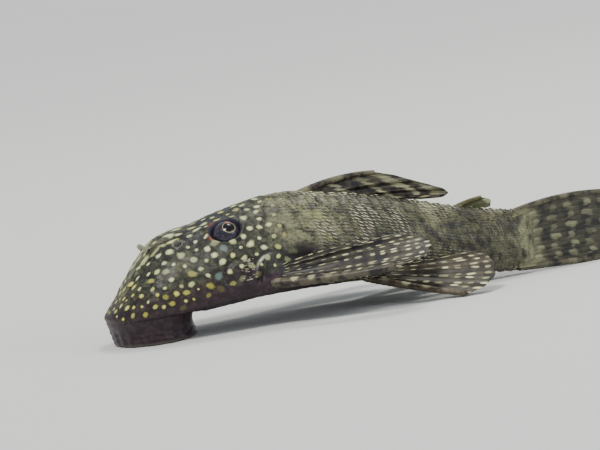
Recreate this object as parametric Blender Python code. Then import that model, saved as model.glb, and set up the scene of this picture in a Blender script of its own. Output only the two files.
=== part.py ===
"""Bristlenose pleco, a still life-size model that rests on its sucker mouth, its pelvic fins and its tail.

The fish looks along -X, its left side is at -Y, and +Z is up. Sizes are in millimetres from the snout's tip
and from the floor, and at() turns them into metres about the middle of the floor.
"""

import math

import bpy
import bmesh
from mathutils import Vector

# Driving dimensions, in millimetres
TOTAL_LENGTH = 114.0
STANDARD_LENGTH = 89.4
HEAD_END = 37.0
TRUNK_END = 66.5
GAP = 0.3
EYE_RADIUS = 3.1
EYE_PROUD = 1.2
MEMBRANE = 0.6
TAIL_SWAY = 4.0
SWAY_START = 44.0

# Body stations: x, top, level of greatest width, bottom, half width, roundness above and below that level
STATIONS = (
    (0.0, 6.2, 6.0, 5.8, 11.4, 2.0, 2.4),
    (1.2, 7.6, 6.2, 4.9, 11.4, 2.0, 2.8),
    (4.4, 11.2, 6.9, 4.8, 11.4, 2.0, 3.0),
    (9.2, 17.2, 7.8, 4.8, 11.7, 2.0, 3.2),
    (11.6, 19.6, 8.3, 4.9, 12.0, 2.0, 3.2),
    (14.5, 20.9, 8.7, 5.0, 12.4, 2.05, 3.2),
    (20.0, 22.3, 9.3, 5.2, 13.0, 2.1, 3.2),
    (27.0, 24.1, 9.7, 5.6, 13.6, 2.1, 3.2),
    (32.0, 25.0, 9.9, 5.9, 13.9, 2.0, 3.2),
    (41.5, 25.6, 10.2, 5.6, 12.5, 1.85, 3.1),
    (52.5, 23.8, 10.2, 5.2, 10.7, 1.75, 3.0),
    (61.0, 21.7, 10.0, 4.8, 8.8, 1.75, 2.8),
    (69.0, 19.1, 9.4, 3.9, 6.8, 1.8, 2.6),
    (77.0, 16.7, 8.7, 2.4, 4.9, 1.9, 2.4),
    (83.5, 15.0, 8.0, 1.4, 3.7, 2.0, 2.2),
    (89.4, 13.9, 7.4, 0.9, 2.7, 2.0, 2.2),
)
TOP, LEVEL, BOTTOM, HALF_WIDTH, ROUND_ABOVE, ROUND_BELOW = range(1, 7)
SNOUT_ROUND = 11.0  # length over which the snout's plan rounds in to its tip
SNOUT_FLAT = 0.05  # where the snout's small blunt end is cut

# Eyes, nostrils and bristles: distance from the snout, and from the middle plane
EYE_X, EYE_Y = 25.8, 8.7
NOSTRIL_X, NOSTRIL_Y = 16.0, 6.9
BRISTLE_X, BRISTLE_Y = 10.6, 3.0

# Short hooked spines of each cheek: distance from the snout, and the turn round the body from the back
CHEEK_SPINES = ((26.6, 1.30), (27.8, 1.38), (27.0, 1.46), (28.2, 1.54))
CHEEK_SPINE_LENGTH = 2.0

# Sucker mouth: its plan is an oval, and each layer is a share of it at a height
MOUTH_X, MOUTH_LENGTH, MOUTH_WIDTH = 9.9, 18.0, 19.4
MOUTH_LAYERS = ((0.0, 0.82), (0.4, 0.88), (1.6, 0.93), (3.2, 0.98), (4.5, 1.02))
MOUTH_OPENING = (11.0, 3.4, 2.0, 1.5)  # place along x, half width, half length, depth

# Fins: thickness of the web at its root, then the radii at the root and the tip of each spine
PECTORAL = (1.0, (1.15, 0.8))
PELVIC = (1.0, (0.95, 0.65))
DORSAL = (1.3, (0.85, 0.5))
ADIPOSE = (0.8, (0.65, 0.5))
ANAL = (0.8, (0.55, 0.4))
CAUDAL = (4.2, (0.75, 0.5), (0.85, 0.65))
CAUDAL_EDGE = 0.3  # share of the tail fin's root thickness that is left at its upper and lower edges

# Colours, roughness
SKIN = ("olive_skin", (0.13, 0.12, 0.08), 0.45)
FIN = ("fin_membrane", (0.20, 0.18, 0.12), 0.5)
LIP = ("lip_skin", (0.16, 0.12, 0.13), 0.55)
EYE = ("eye", (0.03, 0.03, 0.05), 0.1)


def sway(x):
    """How far the tail's bend carries a point at x towards +Y."""
    return TAIL_SWAY * max(0.0, (x - SWAY_START) / (TOTAL_LENGTH - SWAY_START)) ** 2


def at(x, y, z):
    """A point of the part in metres, from millimetres off the snout's tip, the middle plane and the floor."""
    return Vector((x - TOTAL_LENGTH / 2, y + sway(x), z)) / 1000


def station(x, column):
    """A station value at x, on a smooth curve through the stations."""
    x = min(max(x, STATIONS[0][0]), STATIONS[-1][0])
    i = max(k for k in range(len(STATIONS) - 1) if STATIONS[k][0] <= x)
    a, b = STATIONS[i], STATIONS[i + 1]
    span = b[0] - a[0]

    def slope(k):
        before, after = STATIONS[max(k - 1, 0)], STATIONS[min(k + 1, len(STATIONS) - 1)]
        return (after[column] - before[column]) / (after[0] - before[0])

    t = (x - a[0]) / span
    bend = (slope(i) - (b[column] - a[column]) / span) * (1 - t) * (1 - t) * t
    bend -= (slope(i + 1) - (b[column] - a[column]) / span) * (1 - t) * t * t
    return a[column] + (b[column] - a[column]) * t + bend * span


def half_width(x):
    """Half of the body's width at x, with the snout rounded in plan."""
    ahead = max(0.0, 1 - x / SNOUT_ROUND)
    return station(x, HALF_WIDTH) * math.sqrt(1 - ahead * ahead)


def section_point(x, angle, grow=0.0):
    """(y, z) on the body's outline at x. Angle 0 is the back and a quarter turn is the right flank."""
    c, s = math.cos(angle), math.sin(angle)
    above = c >= 0
    power = 2 / station(x, ROUND_ABOVE if above else ROUND_BELOW)
    reach = station(x, TOP) - station(x, LEVEL) if above else station(x, LEVEL) - station(x, BOTTOM)
    y = math.copysign((half_width(x) + grow) * abs(s) ** power, s)
    return y, station(x, LEVEL) + math.copysign((reach + grow) * abs(c) ** power, c)


def surface_at(x, y):
    """Height of the body's upper surface, and its outward direction, at x and y."""
    power = station(x, ROUND_ABOVE)

    def height(px, py):
        share = min(abs(py) / half_width(px), 1.0)
        reach = station(px, TOP) - station(px, LEVEL)
        return station(px, LEVEL) + reach * (1 - share**power) ** (1 / power)

    step = 0.2
    across = (height(x, y + step) - height(x, y - step)) / (2 * step)
    along = (height(x + step, y) - height(x - step, y)) / (2 * step)
    return height(x, y), Vector((-along, -across, 1)).normalized()


def material(look):
    """The material of a (name, colour, roughness) triple, made once."""
    name, colour, roughness = look
    found = bpy.data.materials.get(name)
    if found is None:
        found = bpy.data.materials.new(name)
        found.use_nodes = True
        shader = found.node_tree.nodes["Principled BSDF"]
        shader.inputs["Base Color"].default_value = (*colour, 1)
        shader.inputs["Roughness"].default_value = roughness
        shader.inputs["Metallic"].default_value = 0
    return found


def add_object(name, mesh_builder, look):
    """A named object at the origin from a closed bmesh, smooth shaded, with its look."""
    bmesh.ops.recalc_face_normals(mesh_builder, faces=mesh_builder.faces)
    mesh = bpy.data.meshes.new(name)
    mesh_builder.to_mesh(mesh)
    mesh_builder.free()
    mesh.shade_smooth()
    mesh.materials.append(material(look))
    made = bpy.data.objects.new(name, mesh)
    bpy.context.scene.collection.objects.link(made)
    return made


def helper(made):
    """Marks an object as a cutter or a piece of another, which isn't a part by itself."""
    made.hide_render = True
    made.display_type = "WIRE"
    return made


def combine(made, operation, other):
    """Adds a Boolean of another object to this one."""
    modifier = made.modifiers.new(f"{operation.lower()}_{other.name}", "BOOLEAN")
    modifier.operation = operation
    modifier.object = other
    return made


def loft(rings):
    """A closed bmesh through rings of equal size, with the ends filled."""
    built = bmesh.new()
    rows = [[built.verts.new(point) for point in ring] for ring in rings]
    for row, following in zip(rows, rows[1:]):
        for k in range(len(row)):
            n = (k + 1) % len(row)
            built.faces.new((row[k], row[n], following[n], following[k]))
    built.faces.new(rows[0])
    built.faces.new(rows[-1])
    return built


def body_rings(start, end, count, grow=0.0, sides=32):
    """Rings round the body from start to end. At the snout they crowd towards its tip."""
    rings = []
    for k in range(count + 1):
        share = k / count
        if start < SNOUT_ROUND:
            share = 1 - math.cos(share * math.pi / 2)
        x = start + (end - start) * share
        points = (section_point(x, 2 * math.pi * j / sides, grow) for j in range(sides))
        rings.append([at(x - grow if k == 0 else x, y, z) for y, z in points])
    return rings


def body_solid(name, start, end, count):
    """One length of the body between two plane cuts."""
    return add_object(name, loft(body_rings(start, end, count)), SKIN)


def body_cutter():
    """The whole body grown by the gap, which cuts the fins' roots to shape."""
    front = body_rings(SNOUT_FLAT, SNOUT_ROUND + 3, 10, GAP)
    rear = body_rings(SNOUT_ROUND + 5, STANDARD_LENGTH, 34, GAP)
    return helper(add_object("body_cutter", loft(front + rear), SKIN))


def floor_cutter():
    """A slab below the floor, which gives what touches the floor its small flats."""
    built = bmesh.new()
    bmesh.ops.create_cube(built, size=1)
    bmesh.ops.scale(built, vec=(0.3, 0.2, 0.02), verts=built.verts)
    bmesh.ops.translate(built, vec=(0, 0, -0.01), verts=built.verts)
    return helper(add_object("floor_cutter", built, SKIN))


def along_ray(ray, share):
    """A point of a (root, tip, bow) ray, where the bow is how far its middle is pushed aside."""
    root, tip, bow = (Vector(v) for v in ray)
    return root.lerp(tip, share) + bow * 4 * share * (1 - share)


def between_rays(rays, split):
    """The rays with split - 1 more set between each pair, so that their tips follow a round outline."""
    rays = [tuple(Vector(v) for v in ray) for ray in rays]
    last = len(rays) - 1
    filled = []
    for i in range(last):
        around = [rays[min(max(i + k, 0), last)] for k in (-1, 0, 1, 2)]
        for k in range(split):
            filled.append(tuple(round_way(*points, k / split) for points in zip(*around)))
    return [*filled, rays[-1]]


def round_way(before, start, end, after, share):
    """A point between start and end on a smooth curve that also heeds the points on either side of them."""
    leave, arrive = (end - before) / 2, (after - start) / 2
    rest = 1 - share
    bend = (leave - (end - start)) * rest - (arrive - (end - start)) * share
    return start.lerp(end, share) + bend * rest * share


def membrane(rays, root_thick, edge, steps=5, split=3):
    """A closed bmesh of a fin's web: a sheet through its rays that thins towards their tips.

    edge is the share of the root's thickness that its first and last rays have.
    """
    rays = between_rays(rays, split)
    grid = [[along_ray(ray, k / steps) for k in range(steps + 1)] for ray in rays]
    last = len(grid) - 1
    built = bmesh.new()
    sides = []
    for side in (1, -1):
        rows = []
        for i, line in enumerate(grid):
            row = []
            for k, point in enumerate(line):
                across = grid[min(i + 1, last)][k] - grid[max(i - 1, 0)][k]
                forward = line[min(k + 1, steps)] - line[max(k - 1, 0)]
                normal = across.cross(forward).normalized()
                bulge = 1 - (1 - edge) * (2 * i / last - 1) ** 2
                thick = root_thick * bulge * (1 - k / steps) + MEMBRANE * k / steps
                row.append(built.verts.new(at(*(point + normal * side * thick / 2))))
            rows.append(row)
        sides.append(rows)
    upper, lower = sides
    for i in range(last):
        for k in range(steps):
            for rows in sides:
                corners = (rows[i][k], rows[i + 1][k], rows[i + 1][k + 1], rows[i][k + 1])
                built.faces.new(corners)
        for k in (0, steps):
            built.faces.new((upper[i][k], upper[i + 1][k], lower[i + 1][k], lower[i][k]))
    for i in (0, last):
        for k in range(steps):
            built.faces.new((upper[i][k], upper[i][k + 1], lower[i][k + 1], lower[i][k]))
    return built


def spine(name, ray, root_radius, tip_radius, steps=6, sides=8, look=FIN):
    """A tapered round spine along a ray, with a blunt tip."""
    rings = []
    for k in range(steps + 2):
        share = min(k / steps, 1.0)
        centre = along_ray(ray, share)
        direction = (along_ray(ray, min(share + 0.02, 1.02)) - along_ray(ray, share - 0.02)).normalized()
        radius = root_radius + (tip_radius - root_radius) * share
        if k > steps:
            centre = centre + direction * tip_radius * 0.6
            radius = tip_radius * 0.45
        one = direction.cross(Vector((0, 0, 1))).normalized()
        other = direction.cross(one)
        turns = (2 * math.pi * j / sides for j in range(sides))
        rings.append([at(*(centre + (one * math.cos(t) + other * math.sin(t)) * radius)) for t in turns])
    return add_object(name, loft(rings), look)


def mirrored(rays):
    """The same rays on the other side of the middle plane."""
    return [tuple((x, -y, z) for x, y, z in ray) for ray in rays]


def fin(name, rays, sizes, cutters, edge=1.0):
    """A fin: its web, joined to the spines of its first and last rays, and cut to the body and the floor."""
    root_thick, *spine_radii = sizes
    made = add_object(name, membrane(rays, root_thick, edge), FIN)
    for ray, radii, word in zip((rays[0], rays[-1]), spine_radii, ("first", "last")):
        combine(made, "UNION", helper(spine(f"{name}_{word}_spine", ray, *radii)))
    for cutter in cutters:
        combine(made, "DIFFERENCE", cutter)
    return made


def pectoral_rays():
    """Left pectoral fin: the spine is lowest and outermost, and the rays close in to the flank."""
    tips = (
        (56.6, -23.6, 9.4), (61.0, -22.6, 9.7), (64.3, -20.6, 10.6),
        (65.8, -17.9, 12.0), (64.6, -15.7, 13.5), (60.2, -14.7, 14.6), (54.4, -14.3, 14.7),
    )
    count = len(tips) - 1
    roots = [(29.8 + 3.0 * k / count, -11.6, 9.2 + 2.6 * k / count) for k in range(count + 1)]
    bows = [(0, -0.9 - 0.5 * k / count, -0.5 + 1.1 * k / count) for k in range(count + 1)]
    return list(zip(roots, tips, bows))


def pelvic_rays():
    """Left pelvic fin: its spine slopes down to rest its tip on the floor."""
    tips = (
        (71.8, -18.4, 0.6), (75.6, -18.6, 1.5), (78.3, -17.4, 3.3),
        (79.3, -15.5, 5.3), (78.1, -13.7, 7.2), (74.8, -12.2, 8.4),
    )
    count = len(tips) - 1
    roots = [(53.2 + 2.8 * k / count, -6.4, 6.2 + 1.6 * k / count) for k in range(count + 1)]
    bows = [(0, -0.5 - 0.5 * k / count, -0.3) for k in range(count + 1)]
    return list(zip(roots, tips, bows))


def dorsal_rays():
    """Dorsal fin folded back: its rays lie along the back and overlap its rear."""
    tips = (
        (60.6, 0, 26.5), (64.6, 0, 25.2), (68.2, 0, 23.6), (71.6, 0, 22.1),
        (74.4, 0, 20.8), (75.6, 0, 19.6), (73.8, 0, 19.0), (69.2, 0, 19.3),
    )
    count = len(tips) - 1
    rays = []
    for k, tip in enumerate(tips):
        x = 42.9 + 21.2 * k / count
        root = (x, 0, station(x, TOP) - 1.0)
        rays.append((root, tip, (0, 0, 0.95 - 0.75 * k / count)))
    return rays


def adipose_rays():
    """Adipose fin: a short spine with a small web behind it."""
    return [
        ((76.0, 0, 16.1), (82.6, 0, 17.5), (0, 0, 0.25)),
        ((77.8, 0, 15.6), (84.4, 0, 16.7), (0, 0, 0.1)),
        ((79.8, 0, 15.0), (84.2, 0, 15.3), (0, 0, -0.1)),
    ]


def anal_rays():
    """Anal fin laid back below the tail stalk."""
    tips = ((77.8, 0, 0.75), (80.2, 0, 0.95), (81.8, 0, 1.25), (82.4, 0, 1.6))
    count = len(tips) - 1
    return [
        ((67.4 + 4.6 * k / count, 0, 5.6 - 0.6 * k / count), tip, (0, 0, -0.6))
        for k, tip in enumerate(tips)
    ]


def caudal_rays():
    """Tail fin: the lower lobe is the longer, and its lower edge lies on the floor."""
    tips = (
        (109.6, 0, 14.2), (109.0, 0, 12.3), (107.4, 0, 10.2), (106.5, 0, 8.2),
        (107.2, 0, 6.2), (109.4, 0, 4.2), (111.8, 0, 2.4), (113.6, 0, 0.6),
    )
    count = len(tips) - 1
    top, bottom = station(STANDARD_LENGTH, TOP) - 0.9, station(STANDARD_LENGTH, BOTTOM) + 0.7
    rays = []
    for k, tip in enumerate(tips):
        root = (STANDARD_LENGTH + GAP, 0, top + (bottom - top) * k / count)
        rays.append((root, tip, (0, 0, 1.0 - 1.3 * k / count)))
    return rays


def make_mouth():
    """The sucker mouth: a soft disc with a rounded rim, flat where it grips, open in its middle."""
    sides = 32
    rings = []
    for height, share in MOUTH_LAYERS:
        ring = []
        for j in range(sides):
            turn = 2 * math.pi * j / sides
            x = MOUTH_X + MOUTH_LENGTH / 2 * share * math.cos(turn)
            ring.append(at(x, MOUTH_WIDTH / 2 * share * math.sin(turn), height))
        rings.append(ring)
    made = add_object("mouth_disc", loft(rings), LIP)
    x, wide, long, deep = MOUTH_OPENING
    built = bmesh.new()
    bmesh.ops.create_uvsphere(built, u_segments=16, v_segments=8, radius=1)
    bmesh.ops.scale(built, vec=(long / 1000, wide / 1000, deep / 1000), verts=built.verts)
    bmesh.ops.translate(built, vec=at(x, 0, 0), verts=built.verts)
    return combine(made, "DIFFERENCE", helper(add_object("mouth_opening", built, LIP)))


def eye_centre(side):
    """Where an eyeball's middle lies, so that it stands a little proud of the head."""
    height, outward = surface_at(EYE_X, side * EYE_Y)
    return Vector((EYE_X, side * EYE_Y, height)) + outward * (EYE_PROUD - EYE_RADIUS)


def ball(name, centre, radius, look):
    """A round ball about a point."""
    built = bmesh.new()
    bmesh.ops.create_uvsphere(built, u_segments=18, v_segments=10, radius=radius / 1000)
    bmesh.ops.translate(built, vec=at(*centre), verts=built.verts)
    return add_object(name, built, look)


def make_eyes(head):
    """Both eyeballs, each in a socket cut into the head."""
    for side, word in ((-1, "left"), (1, "right")):
        centre = eye_centre(side)
        ball(f"eye_{word}", centre, EYE_RADIUS, EYE)
        combine(head, "DIFFERENCE", helper(ball(f"socket_{word}", centre, EYE_RADIUS + GAP, SKIN)))


def add_nostrils(head):
    """The raised rims of the nostrils, joined to the head."""
    for side, word in ((-1, "left"), (1, "right")):
        height, outward = surface_at(NOSTRIL_X, side * NOSTRIL_Y)
        foot = Vector((NOSTRIL_X, side * NOSTRIL_Y, height))
        ray = (foot - outward * 1.5, foot + outward * 0.7, (0, 0, 0))
        combine(head, "UNION", helper(spine(f"nostril_{word}", ray, 1.3, 1.0, 3, 12, SKIN)))


def add_cheek_spines(head):
    """The clump of short hooked spines low on each cheek, joined to the head."""
    for side, word in ((-1, "left"), (1, "right")):
        for row, (x, angle) in enumerate(CHEEK_SPINES):
            y, z = section_point(x, angle)
            root = Vector((x, side * (y - 0.8), z))
            tip = Vector((x + CHEEK_SPINE_LENGTH, side * (y + 0.9), z + 0.3))
            ray = (root, tip, (0.1, side * 0.35, 0))
            name = f"cheek_spine_{word}_{row}"
            combine(head, "UNION", helper(spine(name, ray, 0.4, 0.27, 3, 6, SKIN)))


def make_bristles(cutter):
    """The pair of short soft bristles on top of the snout."""
    for side, word in ((-1, "left"), (1, "right")):
        height, outward = surface_at(BRISTLE_X, side * BRISTLE_Y)
        foot = Vector((BRISTLE_X, side * BRISTLE_Y, height))
        lean = (outward + Vector((-0.25, side * 0.25, 0.35))).normalized()
        ray = (foot - lean * 1.2, foot + lean * 1.5, (0, 0, 0.1))
        made = spine(f"snout_bristle_{word}", ray, 0.55, 0.5, 4, 8, SKIN)
        combine(made, "DIFFERENCE", cutter)


def build():
    """Makes every piece of the fish."""
    for left_over in list(bpy.data.objects):
        bpy.data.objects.remove(left_over)
    cutter, floor = body_cutter(), floor_cutter()
    head = body_solid("head", SNOUT_FLAT, HEAD_END - GAP / 2, 20)
    body_solid("trunk", HEAD_END + GAP / 2, TRUNK_END - GAP / 2, 13)
    body_solid("tail_stalk", TRUNK_END + GAP / 2, STANDARD_LENGTH, 9)
    add_nostrils(head)
    add_cheek_spines(head)
    make_eyes(head)
    make_mouth()
    make_bristles(cutter)
    for side, mirror in (("left", list), ("right", mirrored)):
        fin(f"pectoral_fin_{side}", mirror(pectoral_rays()), PECTORAL, (cutter,))
        fin(f"pelvic_fin_{side}", mirror(pelvic_rays()), PELVIC, (cutter, floor))
    fin("dorsal_fin", dorsal_rays(), DORSAL, (cutter,))
    fin("adipose_fin", adipose_rays(), ADIPOSE, (cutter,))
    fin("anal_fin", anal_rays(), ANAL, (cutter, floor))
    fin("caudal_fin", caudal_rays(), CAUDAL, (cutter, floor), CAUDAL_EDGE)


build()
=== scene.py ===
"""The looks of a still, life-size bristlenose pleco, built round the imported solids.

Lengths are millimetres in the fish's own frame: x from the snout's tip towards the tail, y from the middle
plane towards the right side, and z up from the floor. BodyForm.world turns them into the model's metres.
A place on the body is also given as (x, share), where the share runs round the body from the back, 0, by
the right flank, 0.25, and the belly, 0.5, to the left flank, 0.75.
"""

import logging
import math
from collections.abc import Callable, Sequence
from dataclasses import dataclass, field, replace
from enum import Enum

import bpy
import numpy as np
from mathutils import Matrix, Vector


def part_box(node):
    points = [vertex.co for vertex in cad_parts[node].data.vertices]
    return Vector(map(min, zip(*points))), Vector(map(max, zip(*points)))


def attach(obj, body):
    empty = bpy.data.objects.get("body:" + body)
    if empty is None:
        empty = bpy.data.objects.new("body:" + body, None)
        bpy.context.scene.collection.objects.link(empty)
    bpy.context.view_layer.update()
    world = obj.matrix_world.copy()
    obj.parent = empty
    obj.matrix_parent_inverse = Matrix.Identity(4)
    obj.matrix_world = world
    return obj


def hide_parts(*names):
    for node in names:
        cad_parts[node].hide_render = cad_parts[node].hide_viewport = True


Array = np.ndarray
Piece = bpy.types.Object
Material = bpy.types.Material
Tree = bpy.types.NodeTree
Socket = bpy.types.NodeSocket

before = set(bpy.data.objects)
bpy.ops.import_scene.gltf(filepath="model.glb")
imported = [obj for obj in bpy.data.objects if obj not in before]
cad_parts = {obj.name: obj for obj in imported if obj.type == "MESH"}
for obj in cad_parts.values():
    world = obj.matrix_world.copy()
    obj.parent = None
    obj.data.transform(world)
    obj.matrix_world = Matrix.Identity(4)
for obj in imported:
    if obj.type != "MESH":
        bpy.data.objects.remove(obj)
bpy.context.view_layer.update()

LOG = logging.getLogger("bristlenose")
BODY = "root"
UNWRAP = "OFBake"
TUFT_PATCH = 0.003  # how far a spinule's patch reaches on the unwrap

TOTAL_LENGTH = 114.0
STANDARD_LENGTH = 89.4
EYE_RADIUS = 3.1
EYE_X, EYE_Y = 25.8, 8.7
NOSTRIL_X, NOSTRIL_Y = 16.0, 6.9
BRISTLE_X, BRISTLE_Y = 10.6, 3.0

# Body stations: x, top, level of greatest width, bottom, half width, roundness above and below that level
STATIONS = (
    (0.0, 6.2, 6.0, 5.8, 11.4, 2.0, 2.4),
    (1.2, 7.6, 6.2, 4.9, 11.4, 2.0, 2.8),
    (4.4, 11.2, 6.9, 4.8, 11.4, 2.0, 3.0),
    (9.2, 17.2, 7.8, 4.8, 11.7, 2.0, 3.2),
    (11.6, 19.6, 8.3, 4.9, 12.0, 2.0, 3.2),
    (14.5, 20.9, 8.7, 5.0, 12.4, 2.05, 3.2),
    (20.0, 22.3, 9.3, 5.2, 13.0, 2.1, 3.2),
    (27.0, 24.1, 9.7, 5.6, 13.6, 2.1, 3.2),
    (32.0, 25.0, 9.9, 5.9, 13.9, 2.0, 3.2),
    (41.5, 25.6, 10.2, 5.6, 12.5, 1.85, 3.1),
    (52.5, 23.8, 10.2, 5.2, 10.7, 1.75, 3.0),
    (61.0, 21.7, 10.0, 4.8, 8.8, 1.75, 2.8),
    (69.0, 19.1, 9.4, 3.9, 6.8, 1.8, 2.6),
    (77.0, 16.7, 8.7, 2.4, 4.9, 1.9, 2.4),
    (83.5, 15.0, 8.0, 1.4, 3.7, 2.0, 2.2),
    (89.4, 13.9, 7.4, 0.9, 2.7, 2.0, 2.2),
)
TOP, LEVEL, BOTTOM, HALF_WIDTH, ROUND_ABOVE, ROUND_BELOW = range(1, 7)


class Side(Enum):
    """A side of the fish, as the sign of its y."""

    LEFT = -1
    RIGHT = 1

    @property
    def word(self) -> str:
        """The side's name as the nodes spell it."""
        return self.name.lower()


# Small tools


def bump(distance: Array, width: float) -> Array:
    """A smooth hump of height 1 where distance is 0, about width to each side."""
    return np.exp(-((distance / width) ** 2))


def ramp(value: Array, low: float, high: float) -> Array:
    """A smooth step from 0 at low to 1 at high. Low may be the larger of the two."""
    share = np.clip((value - low) / (high - low), 0, 1)
    return share * share * (3 - 2 * share)


def waves(points: Array, size: float, seed: int) -> Array:
    """Smooth noise of about -1 to 1 whose swells are about size across.

    Args:
        points: Places in millimetres, with x, y, z last.
        size: The swells' breadth in millimetres.
        seed: Which noise.

    Returns:
        One value for each point.
    """
    draw = np.random.default_rng(seed)
    total = np.zeros(points.shape[:-1])
    for _ in range(10):
        direction = draw.normal(size=3)
        direction /= np.linalg.norm(direction)
        turns = 2 * math.pi / size * draw.uniform(0.7, 1.4)
        total += np.sin(points @ direction * turns + draw.uniform(0, 6.3))
    return total / 3.2


def unit(vectors: Array) -> Array:
    """The vectors at length 1."""
    return vectors / np.maximum(np.linalg.norm(vectors, axis=-1, keepdims=True), 1e-9)


def clear_selection() -> None:
    """Deselects everything, so that an operator acts only on what it is given."""
    if bpy.context.mode != "OBJECT":
        bpy.ops.object.mode_set(mode="OBJECT")
    bpy.ops.object.select_all(action="DESELECT")


def places_of(piece: Piece) -> Array:
    """The piece's vertices as rows of x, y, z.

    Args:
        piece: A mesh object.

    Returns:
        A row for each vertex.
    """
    flat = np.empty(len(piece.data.vertices) * 3)
    piece.data.vertices.foreach_get("co", flat)
    return flat.reshape(-1, 3)


def set_places(piece: Piece, points: Array) -> None:
    """Moves the piece's vertices, and turns its faces out if they ended up facing in.

    Args:
        piece: A closed mesh.
        points: A row of x, y, z for each vertex.
    """
    mesh = piece.data
    mesh.vertices.foreach_set("co", np.ascontiguousarray(points, dtype=np.float64).ravel())
    mesh.update()
    if volume_of(piece) < 0:
        mesh.flip_normals()
    mesh.update()


def volume_of(piece: Piece) -> float:
    """The signed volume inside the piece's faces.

    Args:
        piece: A mesh object.

    Returns:
        Cubic metres, below 0 where the faces point in.
    """
    mesh = piece.data
    mesh.calc_loop_triangles()
    corners = np.empty(len(mesh.loop_triangles) * 3, dtype=np.int32)
    mesh.loop_triangles.foreach_get("vertices", corners)
    a, b, c = np.moveaxis(places_of(piece)[corners.reshape(-1, 3)], 1, 0)
    return float(np.einsum("ij,ij->i", a, np.cross(b, c)).sum() / 6)


def set_vectors(piece: Piece, name: str, values: Array) -> None:
    """Stores three numbers on each vertex, for the materials to read.

    Args:
        piece: The mesh object.
        name: The attribute's name.
        values: A row of three numbers for each vertex.
    """
    held = piece.data.attributes.get(name) or piece.data.attributes.new(name, "FLOAT_VECTOR", "POINT")
    held.data.foreach_set("vector", np.ascontiguousarray(values, dtype=np.float32).ravel())


def drop_unwraps(piece: Piece) -> None:
    """Removes the unwraps that the piece's primitives came with."""
    while piece.data.uv_layers:
        piece.data.uv_layers.remove(piece.data.uv_layers[0])


def set_unwrap(piece: Piece, corners: Array) -> None:
    """Gives the piece its unwrap.

    Args:
        piece: The mesh object.
        corners: The place on the unwrap of each face corner.
    """
    drop_unwraps(piece)
    held = piece.data.uv_layers.new(name=UNWRAP)
    held.data.foreach_set("uv", np.ascontiguousarray(corners, dtype=np.float32).ravel())


def corner_vertices(piece: Piece) -> Array:
    """The vertex of each face corner.

    Args:
        piece: A mesh object.

    Returns:
        A vertex's number for each corner.
    """
    found = np.empty(len(piece.data.loops), dtype=np.int32)
    piece.data.loops.foreach_get("vertex_index", found)
    return found


def round_body(name: str, segments: int, rings: int, place: Callable) -> Piece:
    """A closed round body: a globe whose parallels are laid out along a path.

    Args:
        name: The piece's name.
        segments: How many faces go round it.
        rings: How many rows of faces go along it.
        place: Takes the turn round the path in radians and the share along it, 0 to 1, as arrays, and
            returns the points in metres.

    Returns:
        The new piece, smooth shaded, with its faces outwards.
    """
    clear_selection()
    bpy.ops.mesh.primitive_uv_sphere_add(segments=segments, ring_count=rings, radius=1.0)
    made = bpy.context.object
    made.name = name
    globe = places_of(made)
    share = np.arccos(np.clip(globe[:, 2], -1, 1)) / math.pi
    share = np.round(share * rings) / rings
    turn = np.arctan2(globe[:, 1], globe[:, 0])
    points = place(turn, share)
    for pole, beside in ((0, 1), (rings, rings - 1)):
        ring = points[np.round(share * rings) == beside]
        points[np.round(share * rings) == pole] = ring.mean(axis=0)
    set_places(made, points)
    made.data.shade_smooth()
    return made


def slab(name: str, across: int, along: int) -> tuple[Piece, Array, Array, Array]:
    """A closed flat slab made from a grid, for a fin or a scute to be shaped from.

    Args:
        name: The piece's name.
        across: How many faces go across it.
        along: How many faces go along it.

    Returns:
        The piece, and for each vertex the share across, the share along, and its side, 1 or -1.
    """
    clear_selection()
    bpy.ops.mesh.primitive_grid_add(x_subdivisions=across, y_subdivisions=along, size=2.0)
    made = bpy.context.object
    made.name = name
    thick = made.modifiers.new("thickness", "SOLIDIFY")
    thick.thickness = 0.2
    thick.offset = 0
    bpy.ops.object.modifier_apply(modifier=thick.name)
    flat = places_of(made)
    made.data.shade_smooth()
    return made, (flat[:, 0] + 1) / 2, (flat[:, 1] + 1) / 2, np.sign(flat[:, 2])


def joined(pieces: Sequence[Piece]) -> Piece:
    """The pieces as one, under the first one's name.

    Args:
        pieces: The pieces, which are used up.

    Returns:
        The piece.
    """
    clear_selection()
    for piece in pieces:
        piece.select_set(True)
    bpy.context.view_layer.objects.active = pieces[0]
    if len(pieces) > 1:
        bpy.ops.object.join()
    return pieces[0]


def finish(
    piece: Piece, material: Material, nodes: Sequence[str] = ()
) -> Piece:
    """Dresses a finished piece and ties it to the frame.

    Args:
        piece: The piece, in its place.
        material: What it is made of.
        nodes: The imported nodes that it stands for.

    Returns:
        The same piece.
    """
    piece.data.materials.clear()
    piece.data.materials.append(material)
    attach(piece, BODY)
    if nodes:
        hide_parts(*nodes)
    LOG.info("%s: %d faces", piece.name, len(piece.data.polygons))
    return piece


# The body's form


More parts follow.
